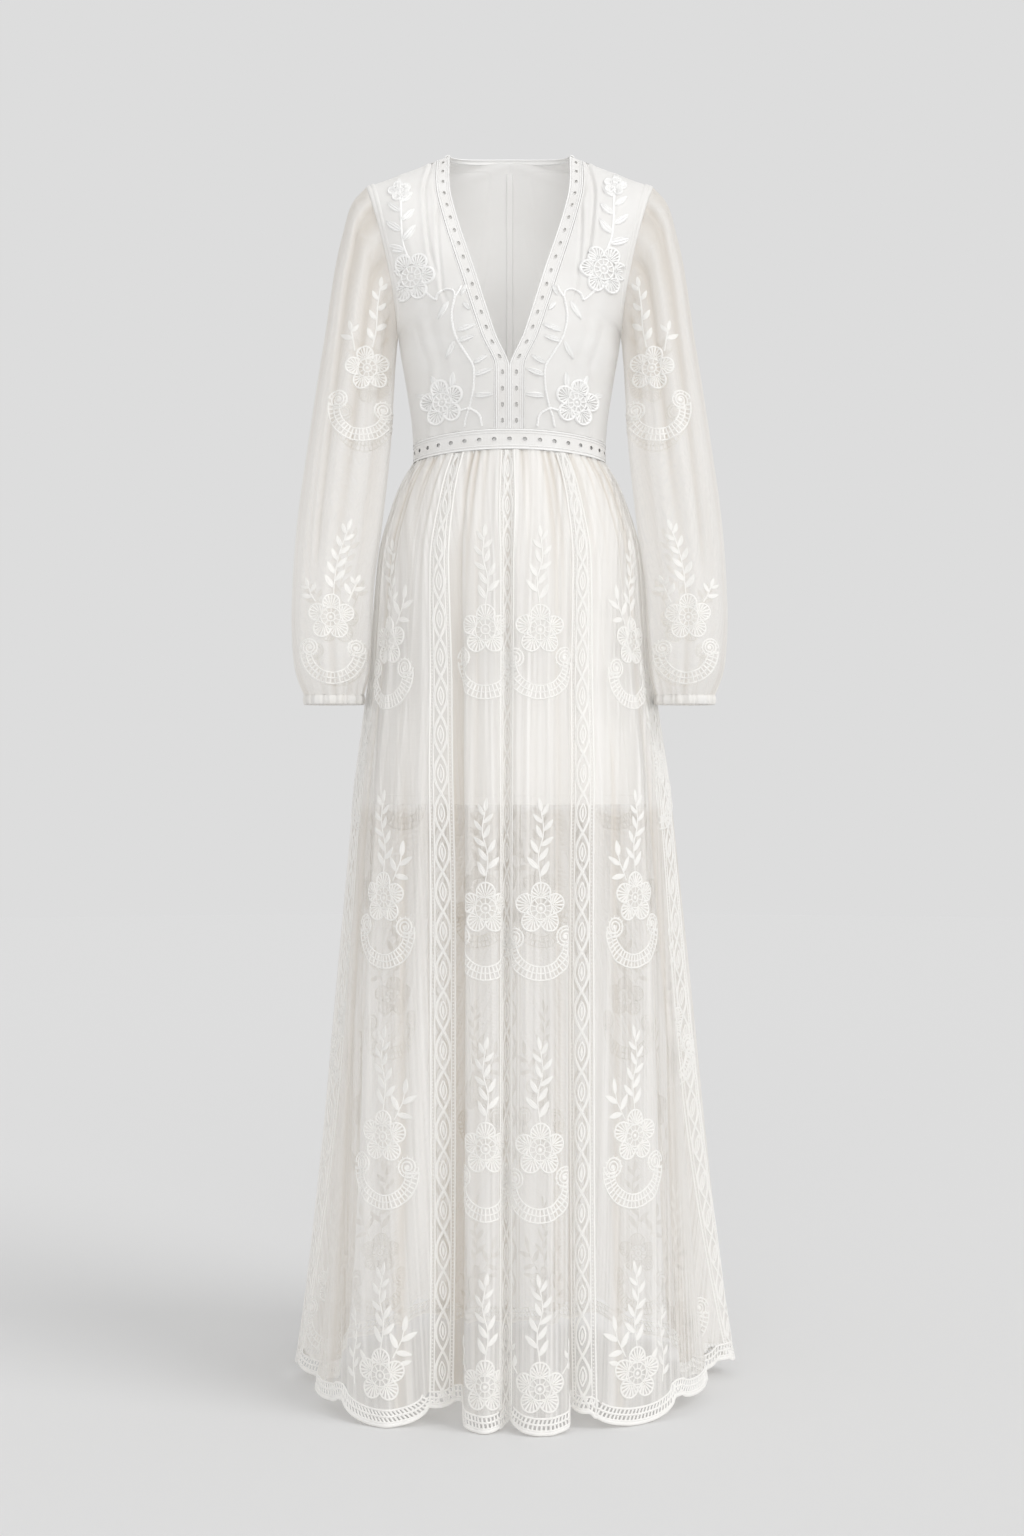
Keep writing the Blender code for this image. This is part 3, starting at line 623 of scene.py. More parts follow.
def make_skirt():
    fine = np.arange(WAIST_BOTTOM, FINE_ROWS_END, -FINE_ROW)
    z = np.concatenate([fine, np.arange(FINE_ROWS_END, HEM - 0.009, -ROW)])
    points = np.array([ring_points(SKIRT, level, True) for level in z])
    creases = crease_relief(z) + pleat_relief(z)
    gathers = gather_relief(z)
    made = Surface(settled(points), -z, zero=int(angle_column(0)), relief=gathers + creases)
    full = np.clip((z - KNEE) / (WAIST_BOTTOM - KNEE), 0, 1)[:, None] ** 2
    folds = np.array([fold_out(ANGLES, level) for level in z])
    grooves = np.clip(-gathers / GATHER_DEPTH, 0, 1)
    sides = np.clip((np.abs(np.sin(np.radians(ANGLES))) - SIDE_START) / (1 - SIDE_START), 0, 1)
    # Painted shade: the cloth's colour is darkened in the valleys between the folds, in the gathers' grooves, in the
    # creases and just below the slip's hem.
    painted_shade = np.clip((-folds - VALLEY_SHADE_START) / VALLEY_FULL_SHADE_DEPTH, 0, 1) + GATHER_PAINTED_SHADE * grooves
    painted_shade = np.clip(painted_shade + CREASE_PAINTED_SHADE * np.clip(-creases / CREASE_FULL_SHADE_DEPTH, 0, 1), 0, 1)
    below = (SLIP_BOTTOM - z)[:, None]
    # falling here is the painted shade below the slip's hem: full a little below it and fading further down.
    falling = np.clip(below / BELOW_SLIP_START, 0, 1) * np.exp(-np.clip(below, 0, None) / BELOW_SLIP_REACH)
    painted_shade = np.clip(painted_shade + BELOW_SLIP_PAINTED_SHADE * falling, 0, 1)
    made.look = np.stack([full + np.abs(creases) / CREASE_DENSEST + SIDE_DENSE * sides, painted_shade], axis=-1)
    return made


def make_slip():
    z = np.linspace(WAIST_TOP - 1 * MM, SLIP_BOTTOM, 62)
    points = np.array([ring_points(SLIP, level, False) for level in z])
    turn = np.radians(ANGLES)[None]
    waves = sum(out * np.sin(count * turn + start) for out, count, start in SLIP_WAVES)
    waves = waves * np.clip((WAIST_BOTTOM - z)[:, None] / SLIP_SMOOTH, 0, 1)
    return Surface(settled(points), -z, zero=int(angle_column(0)), relief=waves)


def make_waist():
    z = np.linspace(WAIST_TOP, WAIST_BOTTOM, 7)
    ring = ring_points(SKIRT, WAIST_BOTTOM, False)
    points = np.array([ring * [1, 1, 0] + [0, 0, level] for level in z])
    return Surface(settled(points), WAIST_TOP - z, zero=int(angle_column(0)))


# The bodice's soft tucks: how far from the neck edge each one lies at its top and its bottom, the heights
# between which it shows, its width, and how far it stands out.
TUCKS = table(
    "top_length bottom_length top bottom width out",
    (24, 44, -10, -125, 1.7, -2.4),
    (28.5, 49, -10, -130, 2.8, 1.5),
    (18, 44, -66, -165, 1.7, -2),
    (22.5, 49, -66, -170, 2.8, 1.3),
    (62, 66, -15, -140, 5, 0.9),
    (70, 92, -180, -330, 8, -1.5),
    (88, 104, -220, -340, 7, 1.2),
    (58, 70, -260, -346, 8, -1),
    (104, 112, -230, -340, 5, -1.2),
)
TUCK_SOFT = 0.04
TUCKS_FROM_TRIM = 4 * MM
TUCKS_FROM_SIDE = 10 * MM
BODICE_FINE = 9
BACK_TUCKS = 0.15


def refine_rows(points, times):
    """The same grid with rows between its rows, on smooth curves down the columns."""
    steps = np.linalg.norm(np.diff(points, axis=0), axis=2).mean(axis=1)
    slopes = np.gradient(points, np.concatenate([[0], np.cumsum(steps)]), axis=0)
    i, t = between(np.linspace(0, len(points) - 1, (len(points) - 1) * times + 1), len(points))
    return cubic(points, slopes, i, t[:, None, None], steps[i][:, None, None])


def make_bodice(front):
    """One half of the bodice, on the wearer's left, from the shoulder seam down to the waist."""
    rows = [section_curve(row, front) for row in reversed(SECTIONS)]
    points = refine_rows(np.array(rows), BODICE_FINE)
    points[..., 0] -= np.minimum(points[:, :1, 0], 0) * np.linspace(1, 0, points.shape[1])
    points = settled(points)
    run = travelled(points, axis=1)
    relief = np.zeros(run.shape)
    z = points[:, :1, 2]
    for row in TUCKS:
        share = np.clip((row.top * MM - z) / ((row.top - row.bottom) * MM), 0, 1)
        middle = (row.top_length + (row.bottom_length - row.top_length) * share) * MM
        shows = fade(-z, -row.top * MM, -row.bottom * MM, TUCK_SOFT)
        relief += row.out * MM * ridge(run - middle, row.width * MM) * shows
    relief *= np.clip((run - TRIM_WIDTH) / TUCKS_FROM_TRIM, 0, 1)
    relief *= np.clip((run[:, -1:] - run) / TUCKS_FROM_SIDE, 0, 1) * (1 if front else BACK_TUCKS)
    return Surface(points, travelled(points[:, 0]), outward=1 if front else -1, relief=relief)


# The sleeve's long folds: a line of angles from the armhole to the cuff, where 90 is the front, the rings
# between which it shows, its width in degrees, and how far it stands out.
SLEEVE_FOLDS = table(
    "top_angle bottom_angle first last width out",
    (40, 52, 0.5, 9, 7, 2.2),
    (62, 66, 0.2, 5, 6, -2.2),
    (78, 84, 0.5, 9, 5, 1.8),
    (98, 92, 1, 9, 6, -2),
    (116, 108, 0.3, 6, 6, 2),
    (140, 128, 1.5, 9, 7, -2.4),
    (162, 150, 2, 9, 8, 2.2),
    (20, 24, 3, 9, 8, -2),
    (200, 205, 1, 9, 8, 2.2),
    (226, 222, 2, 9, 7, -2.4),
    (250, 246, 0.4, 6, 6, 2),
    (272, 276, 1, 9, 6, -2),
    (296, 300, 0.5, 9, 6, 2),
    (322, 316, 0.3, 7, 7, -2.2),
    (344, 346, 2, 9, 8, 2),
    (44, 72, 0.6, 5, 3, 1.8),
    (50.5, 78, 0.6, 5, 3, -2.2),
    (96, 100, 0.8, 4, 3.5, -2.2),
    (120, 105, 0.4, 3.6, 3.5, -2.2),
    (232, 248, 0.6, 4.5, 3.5, -2.2),
)
SLEEVE_STEP = 2.5
SLEEVE_FINE = 14
SLEEVE_OVERLAP = 20
CUFF_GATHERS = 26
CUFF_GATHER_DEPTH = 2.6 * MM
CUFF_GATHER_WIDTH = 2.8
CUFF_GATHER_LENGTH = 38
SLEEVE_FOLD_SOFT = 1.2
SLEEVE_DENSE_LENGTH = 190 * MM
SLEEVE_DENSE = 0.6
# Painted shade on the sleeve: its colour is darkened towards the armhole and in the valleys between its folds.
SLEEVE_TOP_PAINTED_SHADE = 0.62
SLEEVE_FULL_SHADE_DEPTH = 6 * MM


def make_sleeve():
    """The wearer's left sleeve from the armhole to the cuff's top."""
    angles = np.arange(-SLEEVE_OVERLAP, 360 + SLEEVE_OVERLAP + SLEEVE_STEP, SLEEVE_STEP)
    turn = np.radians(angles)[:, None]
    rings = [np.array([armhole(apart(angle, 0)) for angle in angles])]
    for row in SLEEVE:
        outer, inner = mm([row.outer_x, row.mid_y, row.outer_z]), mm([row.inner_x, row.mid_y, row.inner_z])
        depth = mm([0, -row.half_depth, 0])
        rings.append((outer + inner) / 2 + (outer - inner) / 2 * np.cos(turn) + depth * np.sin(turn))
    points = refine_rows(np.array(rings), SLEEVE_FINE)
    down = travelled(points.mean(axis=1))
    ring = np.linspace(0, len(SLEEVE), len(points))[:, None]
    relief = np.zeros(points.shape[:2])
    for row in SLEEVE_FOLDS:
        middle = row.top_angle + (row.bottom_angle - row.top_angle) * ring / len(SLEEVE)
        shows = fade(ring, row.first, row.last, SLEEVE_FOLD_SOFT)
        relief += row.out * MM * ridge(apart(angles, middle), row.width) * shows
    above = (down[-1] - down)[:, None]
    gathers = np.zeros_like(relief)
    for i in range(CUFF_GATHERS):
        middle = (i + uneven(i, 2.7, swing=0.3)) * 360 / CUFF_GATHERS
        length = uneven(i, 1.9, CUFF_GATHER_LENGTH, 22) * MM
        groove = CUFF_GATHER_DEPTH * ridge(apart(angles, middle), CUFF_GATHER_WIDTH)
        gathers -= groove * np.exp(-((above / length) ** 1.5))
    relief += gathers
    made = Surface(points, down, outward=-1, relief=relief)
    top = np.exp(-((down / SLEEVE_DENSE_LENGTH) ** 2))[:, None]
    # Painted shade: darker near the armhole and where the folds stand in.
    painted_shade = np.clip(SLEEVE_TOP_PAINTED_SHADE * top - relief / SLEEVE_FULL_SHADE_DEPTH, 0, 1)
    made.look = np.stack([SLEEVE_DENSE * top + 0 * relief, painted_shade], axis=-1)
    return made


skirt = make_skirt()
slip = make_slip()
waist = make_waist()
bodice_front = make_bodice(True)
bodice_back = make_bodice(False)
sleeve = make_sleeve()


# ---------------------------------------------------------------- meshes


WELD = 0.02 * MM


class Piece:
    """One object as it is put together from grids and strips of faces. Every part of it has flat coordinates
    in metres for its pattern, and a look: how dense the cloth is and how much painted shade darkens its colour."""

    def __init__(self, name):
        self.name = name
        self.points, self.flat, self.looks = [], [], []
        self.loops, self.sizes, self.cuts = [], [], []
        self.count = 0

    def add(self, points, faces, flat, look=(0, 0)):
        points = points.reshape(-1, 3)
        self.points.append(points)
        self.flat.append(flat.reshape(-1, 2))
        self.looks.append(np.broadcast_to(look, (len(points), 2)))
        self.loops.append((faces + self.count).ravel())
        self.sizes.append(np.full(len(faces), faces.shape[1]))
        self.count += len(points)

    def add_grid(self, points, flat, look=(0, 0), outward=1):
        self.add(points, grid_faces(*points.shape[:2])[:, ::outward], flat, look)
        wide, tall = np.ptp(flat[..., 0], axis=1), np.ptp(flat[..., 1], axis=0)
        self.cuts.append((wide.max(), tall.max(), np.mean((wide[1:] + wide[:-1]) / 2) * tall.mean()))

    def mirrored(self, name):
        """The same piece on the other side of the gown."""
        other = Piece(name)
        vars(other).update(vars(self), name=name)
        other.points = [points * [-1, 1, 1] for points in self.points]
        pairs = zip(self.loops, self.sizes)
        other.loops = [loops.reshape(len(sizes), -1)[:, ::-1].ravel() for loops, sizes in pairs]
        return other

    def build(self, cloth, slot, replaces=None, merge=None, thick=None, held=None, rests_on=(), others=()):
        """Makes the object. For a sheet of cloth, held, rests_on and others would say how it is held, what holds it
        and the pieces on it; they are not used.
        """
        mesh = bpy.data.meshes.new(self.name)
        points = np.concatenate(self.points)
        loops = np.concatenate(self.loops).astype(np.int32)
        sizes = np.concatenate(self.sizes).astype(np.int32)
        mesh.vertices.add(len(points))
        mesh.vertices.foreach_set("co", points.astype(np.float32).ravel())
        mesh.loops.add(len(loops))
        mesh.loops.foreach_set("vertex_index", loops)
        mesh.polygons.add(len(sizes))
        mesh.polygons.foreach_set("loop_start", (np.cumsum(sizes) - sizes).astype(np.int32))
        mesh.update(calc_edges=True)
        pattern = mesh.uv_layers.new(name="UVMap")
        pattern.data.foreach_set("uv", np.concatenate(self.flat)[loops].astype(np.float32).ravel())
        looks = np.concatenate(self.looks).astype(np.float32)
        # The second look is painted shade: how far the cloth's colour is darkened towards a shaded colour.
        for column, look in enumerate(("dense", "painted_shade")):
            mesh.attributes.new(look, "FLOAT", "POINT").data.foreach_set("value", looks[:, column].copy())
        mesh.shade_smooth()
        mesh.materials.append(cloth)
        made = bpy.data.objects.new(self.name, mesh)
        bpy.context.scene.collection.objects.link(made)
        if merge:
            weld = made.modifiers.new("weld", "WELD")
            weld.merge_threshold = merge
        if thick:
            solid = made.modifiers.new("thickness", "SOLIDIFY")
            solid.thickness = thick
            solid.offset = -1
        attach(made, "root")
        if replaces:
            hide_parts(replaces)


def grid_faces(rows, columns):
    first = np.arange(rows * columns).reshape(rows, columns)
    corners = (first[:-1, :-1], first[1:, :-1], first[1:, 1:], first[:-1, 1:])
    return np.stack([corner.ravel() for corner in corners], axis=1)


def lay_cloth(piece, surface, row, column, lengths, z, depth=0.0):
    """Adds to a piece the cloth at rows and columns of a surface, or at a depth below it. Its flat coordinates
    are lengths and heights."""
    points, normals = surface.read(row, column)
    flat = np.stack(np.broadcast_arrays(lengths, z), axis=-1)
    look = surface.blend(surface.look, row, column).reshape(-1, 2)
    piece.add_grid(points - normals * depth, flat, look, surface.outward)


# ---------------------------------------------------------------- stitches


def along(points, lengths):
    """Points at lengths along a line of flat points."""
    return np.stack([np.interp(lengths, travelled(points), points[:, i]) for i in range(2)], axis=-1)


def length_of(points):
    return float(travelled(points)[-1])


def bend(points, step):
    """A smooth line through a few flat points, with points a step apart."""
    points = np.asarray(points, float)
    known = travelled(points)
    at = np.linspace(0, known[-1], max(int(np.ceil(known[-1] / step)), 2) + 1)
    i = np.clip(np.searchsorted(known, at, side="right") - 1, 0, len(known) - 2)
    gap = np.diff(known)[i][:, None]
    return cubic(points, np.gradient(points, known, axis=0), i, (at - known[i])[:, None] / gap, gap)


def sideways(line):
    tangents = unit(np.gradient(line, axis=0))
    return np.stack([-tangents[:, 1], tangents[:, 0]], axis=-1)


def turned(way, degrees):
    return way @ np.array([pointing(np.radians(degrees)), pointing(np.radians(degrees + 90))])


CORD_PROFILE = ((-1, 0), (-0.62, 0.8), (0.62, 0.8), (1, 0))
LEAF_HALF = ((0.14, 0.35), (0.45, 0.35), (0.78, 1), (1, 0))
LEAF_ACROSS = (*((-across, up) for across, up in reversed(LEAF_HALF)), (0, 0.85), *LEAF_HALF)
LEAF_SHARES = (0, 0.12, 0.32, 0.55, 0.78, 0.93, 1)
STITCH_LIFT = 0.25 * MM
PETAL_RIBS = 9
PETAL_RIM = 132
PETAL_FAN = 116
RIB_WIDTH = 0.08
FLOWER_RING = 0.43
FLOWER_CORE = 0.19
FLOWER_RAYS = 10
CURL_TURNS = 2.6
CURL_RAYS = 12
CURL_CORE = 0.68
LEAF_SHORTENING = 0.25
LADDER_PITCH = 4.8 * MM


class Stitches:
    """Raised stitching laid out flat: u to the right and v up, in metres, with a height above the cloth."""

    def __init__(self):
        self.flat, self.height, self.faces, self.own = [], [], [], []
        self.count = 0
        self.origin, self.lean, self.mirror = np.zeros(2), 0.0, 1

    def set_down(self, u, v, lean=0.0, mirror=1):
        """Whatever is added next has its own origin here, and leans by so much sideways for each metre up."""
        self.origin, self.lean, self.mirror = np.array([u, v]), lean, mirror

    def add(self, flat, height, own, faces):
        flat = flat.reshape(-1, 2) * [self.mirror, 1]
        flat = flat + np.column_stack([flat[:, 1] * self.lean, np.zeros(len(flat))]) + self.origin
        faces = faces[:, :: self.mirror]
        self.flat.append(flat)
        self.height.append(np.asarray(height, float).ravel())
        self.own.append(own.reshape(-1, 2))
        self.faces.append(faces + self.count)
        self.count += self.height[-1].size

    def cord(self, line, width, height=None, shape=1.0):
        """A half-round cord along a line. shape narrows it along its length, and its own coordinates run along
        it and across it."""
        height = width * 0.45 if height is None else height
        line = np.asarray(line, float)
        shape = shape * np.ones(len(line))
        across, up = np.array(CORD_PROFILE).T[..., None]
        half = across * width / 2
        flat = line + sideways(line) * (half * shape)[..., None]
        own = np.stack(np.broadcast_arrays(travelled(line), half), axis=-1)
        self.add(flat, up * height * shape, own, grid_faces(len(across), len(line))[:, ::-1])

    def beaded(self, line, width, height, pitch=3.6 * MM):
        """A cord bound at even steps, so that it swells between them."""
        fine = bend(line, pitch / 4)
        run = np.linspace(0, length_of(fine) / pitch, len(fine))
        self.cord(fine, width, height, 0.72 + 0.28 * np.abs(np.sin(np.pi * run)))

    def cords(self, starts, ends, width, height):
        """Many short straight cords at once, such as rungs."""
        for start, end in zip(starts, ends):
            self.cord([start, (start + end) / 2, end], width, height)

    def leaf(self, start, end, width, height=0.9 * MM, bow=0.0):
        """A pointed leaf in satin stitch, with raised edges and a raised vein."""
        start, end = np.asarray(start, float), np.asarray(end, float)
        whole = np.linalg.norm(end - start)
        axis = (end - start) / whole
        side = np.array([-axis[1], axis[0]])
        share = np.array(LEAF_SHARES)
        inside = (share > 0) & (share < 1)
        across, up = np.array(LEAF_ACROSS).T[..., None]
        half = across * width / 2 * inside * np.sin(np.pi * share**0.85) ** 0.75
        middle = start + axis * whole * share[:, None] + side * bow * np.sin(np.pi * share)[:, None]
        own = np.stack(np.broadcast_arrays(whole * share, half), axis=-1)
        faces = grid_faces(len(across), len(share))[:, ::-1]
        self.add(middle + side * half[..., None], up * height * inside * np.sin(np.pi * share) ** 0.5, own, faces)

    def dot(self, centre, radius, height):
        flat = np.concatenate([[centre], centre + radius * pointing(np.radians(np.arange(0, 360, 45)))])
        faces = np.array([(0, 1 + i, 2 + i, 1 + (i + 2) % 8) for i in range(0, 8, 2)])
        self.add(flat, np.array([height] + [0] * 8), flat - centre, faces)

    def ring(self, centre, radius, width, parts=20):
        self.cord(centre + radius * pointing(np.linspace(0, 2 * np.pi, parts + 1)), width)

    def petal(self, centre, radius, facing, height, thread, size):
        """A round petal, of a size beside the flower's radius: ribs fan out from its base to a cord round it."""
        facing = np.radians(facing)
        way = pointing(facing)
        base = centre + way * radius * FLOWER_RING
        middle = centre + way * radius * (1 - size)
        rim = pointing(facing + np.radians(PETAL_RIM) * np.linspace(-1, 1, 17))
        self.cord(middle + radius * size * rim, thread, height)
        fan = pointing(facing + np.radians(PETAL_FAN) * np.linspace(-1, 1, PETAL_RIBS))
        ends = middle + radius * (size - 0.02) * fan
        for i, end in enumerate(ends):
            start = base + (end - base) * (0.1 if i % 2 else 0.3)
            self.cord([start, (start + end) / 2, end], radius * RIB_WIDTH, height, np.array([0.5, 0.9, 1]))

    def flower(self, centre, radius, facing=90, petals=5, thread=2.2 * MM, height=1.2 * MM):
        """Round ribbed petals about a small ring, with wedge-shaped eyelets between the ring and the petals."""
        centre = np.asarray(centre, float)
        touching = np.sin(np.pi / petals)
        for i in range(petals):
            self.petal(centre, radius, facing + i * 360 / petals, height, thread, touching / (1 + touching))
        self.ring(centre, radius * FLOWER_RING, thread * 0.8)
        self.ring(centre, radius * FLOWER_CORE, thread * 0.8, parts=12)
        self.dot(centre, radius * 0.08, height * 0.8)
        ways = pointing(np.radians(facing + np.arange(FLOWER_RAYS) * 360 / FLOWER_RAYS))
        starts, ends = (centre + ways * radius * share for share in (FLOWER_CORE, FLOWER_RING))
        self.cords(starts, ends, thread * 0.62, height * 0.6)

    def sprig(self, line, leaves, length, width, spread=38, stem=1.5 * MM, bare=0.1, height=1 * MM):
        """Leaves by turns on either side of a stem that ends in a leaf. They get shorter towards the tip."""
        stem_line = bend(line, 4 * MM)
        whole = length_of(stem_line)
        self.cord(stem_line, stem, 0.8 * MM)
        places = np.linspace(bare, 0.95, leaves) * whole
        at = along(stem_line, places)
        ahead = along(stem_line, np.minimum(places + 3 * MM, whole)) - along(stem_line, places - 3 * MM)
        for i, (point, way) in enumerate(zip(at, unit(ahead))):
            size = 1 - LEAF_SHORTENING * i / max(leaves - 1, 1)
            sign = 1 if i % 2 else -1
            out = turned(way, sign * spread)
            self.leaf(point, point + out * length * size, width * size, height, bow=sign * 0.8 * MM)
        way = unit(stem_line[-1] - stem_line[-2])
        self.leaf(stem_line[-1], stem_line[-1] + way * length * 0.8, width * 0.8, height)

    def ladder(self, line, width, thread=1.8 * MM, rung=2 * MM):
        """Open work: three cords along a line, with rows of eyelets between them parted by rungs."""
        lines = [line + sideways(line) * offset for offset in (-width / 2, 0, width / 2)]
        for each in lines:
            self.cord(each, thread)
        count = max(int(length_of(line) / LADDER_PITCH), 1)
        shares = (np.arange(count) + 0.5) / count
        for low, high in zip(lines, lines[1:]):
            self.cords(*(along(each, shares * length_of(each)) for each in (low, high)), rung, 0.8 * MM)

    def curl(self, centre, radius, facing):
        """The round end of a garland: a spiral cord, with eyelets between its turns."""
        turn = np.linspace(0, CURL_TURNS * 2 * np.pi, 60)
        reach = radius * (1 - 0.8 * turn / turn[-1])
        self.cord(centre + reach[:, None] * pointing(np.radians(facing) + turn), 2 * MM)
        ways = pointing(np.radians(facing + np.arange(CURL_RAYS) * 360 / CURL_RAYS))
        self.cords(centre + ways * radius * CURL_CORE, centre + ways * radius, 1.3 * MM, 0.6 * MM)
        self.dot(centre, radius * 0.2, 0.9 * MM)

    def garland(self, centre, radius, width, curl, start=180, end=360):
        """Part of a ring that hangs open side up, with a curl at either end."""
        ways = pointing(np.radians(np.linspace(start, end, 40)))
        self.ladder(centre + ways * radius, width)
        outer = radius + width / 2
        for way, facing in ((ways[0], start), (ways[-1], end)):
            self.curl(centre + way * (outer - curl) + [0, curl * 0.35], curl, facing)

    def onto(self, piece, place):
        """Adds the stitching to a piece. place turns flat points and heights into points in the frame, and says
        which of them lie on the cloth."""
        points, found = place(np.concatenate(self.flat), np.concatenate(self.height) + STITCH_LIFT)
        faces = np.concatenate(self.faces)
        faces = faces[found[faces].all(axis=1)]
        piece.add(points, faces, np.concatenate(self.own))


def placed(surface, row, lengths, height):
    """Points over a surface, at rows and lengths along them, which all lie on the cloth."""
    points, normals = surface.read(row, surface.column_at(row, lengths))
    return points + normals * height[:, None], np.ones(len(row), bool)


def on_surface(surface):
    """Places flat stitching by its length along the surface's rows and its distance down from their top."""
    return lambda flat, height: placed(surface, surface.row_at(-flat[:, 1]), flat[:, 0], height)


def seen_along(surface, way):
    """Places flat stitching as it is seen along a level way of looking: u is sideways and v is the height."""
    faces = grid_faces(*surface.points.shape[:2])
    tree = BVHTree.FromPolygons(surface.points.reshape(-1, 3).tolist(), faces.tolist())
    way = unit(np.array([*way, 0.0]))
    side = np.array([way[1], -way[0], 0])

    def place(flat, height):
        made, found = np.zeros((len(flat), 3)), np.zeros(len(flat), bool)
        for i, (u, v) in enumerate(flat):
            hit, normal, *_ = tree.ray_cast(Vector(side * u + [0, 0, v] - way), Vector(way))
            if hit is not None:
                out = -np.array(normal) if np.array(normal) @ way > 0 else np.array(normal)
                made[i], found[i] = np.array(hit) + out * height[i], True
        return made, found

    return place


# ---------------------------------------------------------------- cloth and thread


CREPE_WHITE = (0.895, 0.886, 0.87)
CREPE_SHADE = (0.872, 0.86, 0.84)
IVORY = (0.8, 0.79, 0.775)
SHADE = (0.765, 0.75, 0.727)
CUFF_IVORY = (0.8, 0.78, 0.745)
WHITE = (0.98, 0.975, 0.965)
SLIP_WHITE = (0.95, 0.944, 0.932)
COTTON = (0.975, 0.97, 0.957)
NET_COTTON = (0.985, 0.974, 0.95)
NET = (0.965, 0.952, 0.932)
NET_SHADE = (0.905, 0.886, 0.858)
# Painted shade colour: the net is darkened towards it in fold valleys, gathers, creases, below the slip and at the
# sleeves' tops.
NET_PAINTED_SHADE = (0.745, 0.69, 0.62)
CLEAR = (0.99, 0.982, 0.97)
NET_HOLES = 1300
NET_GLOW = 0.2


class Paint:
    """A material of nodes, whose patterns lie on the cloth's flat coordinates."""

    def __init__(self, name):
        self.made = bpy.data.materials.new(name)
        self.made.use_nodes = True
        self.tree = self.made.node_tree
        self.tree.nodes.clear()
        self.flat = self.node("UVMap", uv_map="UVMap")
        self.axes = [self.node("SeparateXYZ", {0: self.flat}, axis) for axis in "XY"]

    def node(self, kind, inputs=(), out=0, **settings):
        """Adds a node, whose inputs are values or other nodes' outputs, and gives one of its outputs."""
        new = self.tree.nodes.new("ShaderNode" + kind)
        for key, value in settings.items():
            setattr(new, key, value)
        for key, value in dict(inputs).items():
            if isinstance(value, bpy.types.NodeSocket):
                self.tree.links.new(value, new.inputs[key])
            else:
                new.inputs[key].default_value = value
        return new.outputs[out]

    def math(self, operation, *values, **settings):
        return self.node("Math", dict(enumerate(values)), operation=operation, **settings)

    def mixed(self, share, first, second):
        return self.node("Mix", {0: share, 6: first, 7: second}, 2, data_type="RGBA")

    def noise(self, patches, detail, **ends):
        """Noise in so many patches a metre across the cloth and down it, spread over a range."""
        place = self.node("Mapping", {"Vector": self.flat, "Scale": (*patches, 1)})
        value = self.node("TexNoise", {"Vector": place, "Scale": 1, "Detail": detail}, "Fac")
        return self.node("MapRange", {"Value": value} | {key.replace("_", " "): end for key, end in ends.items()})

    def uneven(self, colour, shade, patches):
        """A cloth's colour with soft variation."""
        return self.mixed(self.noise(patches, 3, From_Min=0.3, From_Max=0.6), (*shade, 1), (*colour, 1))

    def cloth(self, colour, threads, relief, strength, roughness, sheen, glow):
        """Matt cloth in relief, from two sets of threads that cross, so many a metre. It lets some light through."""
        turns = [self.math("MULTIPLY", axis, 2 * np.pi * count) for axis, count in zip(self.axes, threads)]
        height = self.math("MAXIMUM", *(self.math("SINE", turn) for turn in turns))
        normal = self.node("Bump", {"Height": height, "Distance": relief, "Strength": strength})
        look = {"Base Color": colour, "Normal": normal, "Roughness": roughness, "Sheen Weight": sheen}
        shader = self.node("BsdfPrincipled", look | {"Sheen Roughness": 0.45, "Specular IOR Level": 0.18})
        through = self.node("BsdfTranslucent", {"Color": colour})
        return self.node("MixShader", {0: glow, 1: shader, 2: through})

    def finished(self, shader):
        out = self.tree.nodes.new("ShaderNodeOutputMaterial")
        self.tree.links.new(shader, out.inputs[0])
        return self.made


def sheer(name, cover, dense_cover, patches, streak, painted_shade_strength=1.0):
    """A fine square net: its threads hide a share of what is behind, more of it where the cloth is dense.
    Its colour is darkened by painted shade towards the net's painted shade colour, scaled by a strength.
    """
    paint = Paint(name)
    painted_shade, dense = (paint.node("Attribute", out="Fac", attribute_name=look) for look in ("painted_shade", "dense"))
    # Painted shade: the share by which the net's colour is darkened towards its painted shade colour.
    shade = paint.math("MULTIPLY", painted_shade, painted_shade_strength)
    colour = paint.mixed(shade, paint.uneven(NET, NET_SHADE, patches), (*NET_PAINTED_SHADE, 1))
    cloth = paint.cloth(colour, (900, 900), 0.2 * MM, 0.25, 0.62, 0.25, NET_GLOW)
    ends = {"To_Min": cover - streak, "To_Max": cover + streak}
    lines = paint.noise((300, 1.6), 4, From_Min=0.38, From_Max=0.62, **ends)
    whole = paint.math("ADD", lines, paint.math("MULTIPLY", dense, dense_cover), use_clamp=True)
    thread = paint.math("SUBTRACT", 1, paint.math("SQRT", paint.math("SUBTRACT", 1, whole)))
    across, down = (paint.math("FRACT", paint.math("MULTIPLY", axis, NET_HOLES)) for axis in paint.axes)
    net = paint.math("LESS_THAN", paint.math("MINIMUM", across, down), thread)
    clear = paint.node("BsdfTransparent", {"Color": (*CLEAR, 1)})
    return paint.finished(paint.node("MixShader", {0: net, 1: clear, 2: cloth}))


def opaque(name, colour, shade, threads, relief, strength, sheen=0.3, roughness=0.68, glow=0.0):
    """A close cloth or thread, with a weave or stitches that stand up a little."""
    paint = Paint(name)
    colour = paint.uneven(colour, shade, (30, 30))
    return paint.finished(paint.cloth(colour, threads, relief, strength, roughness, sheen, glow))


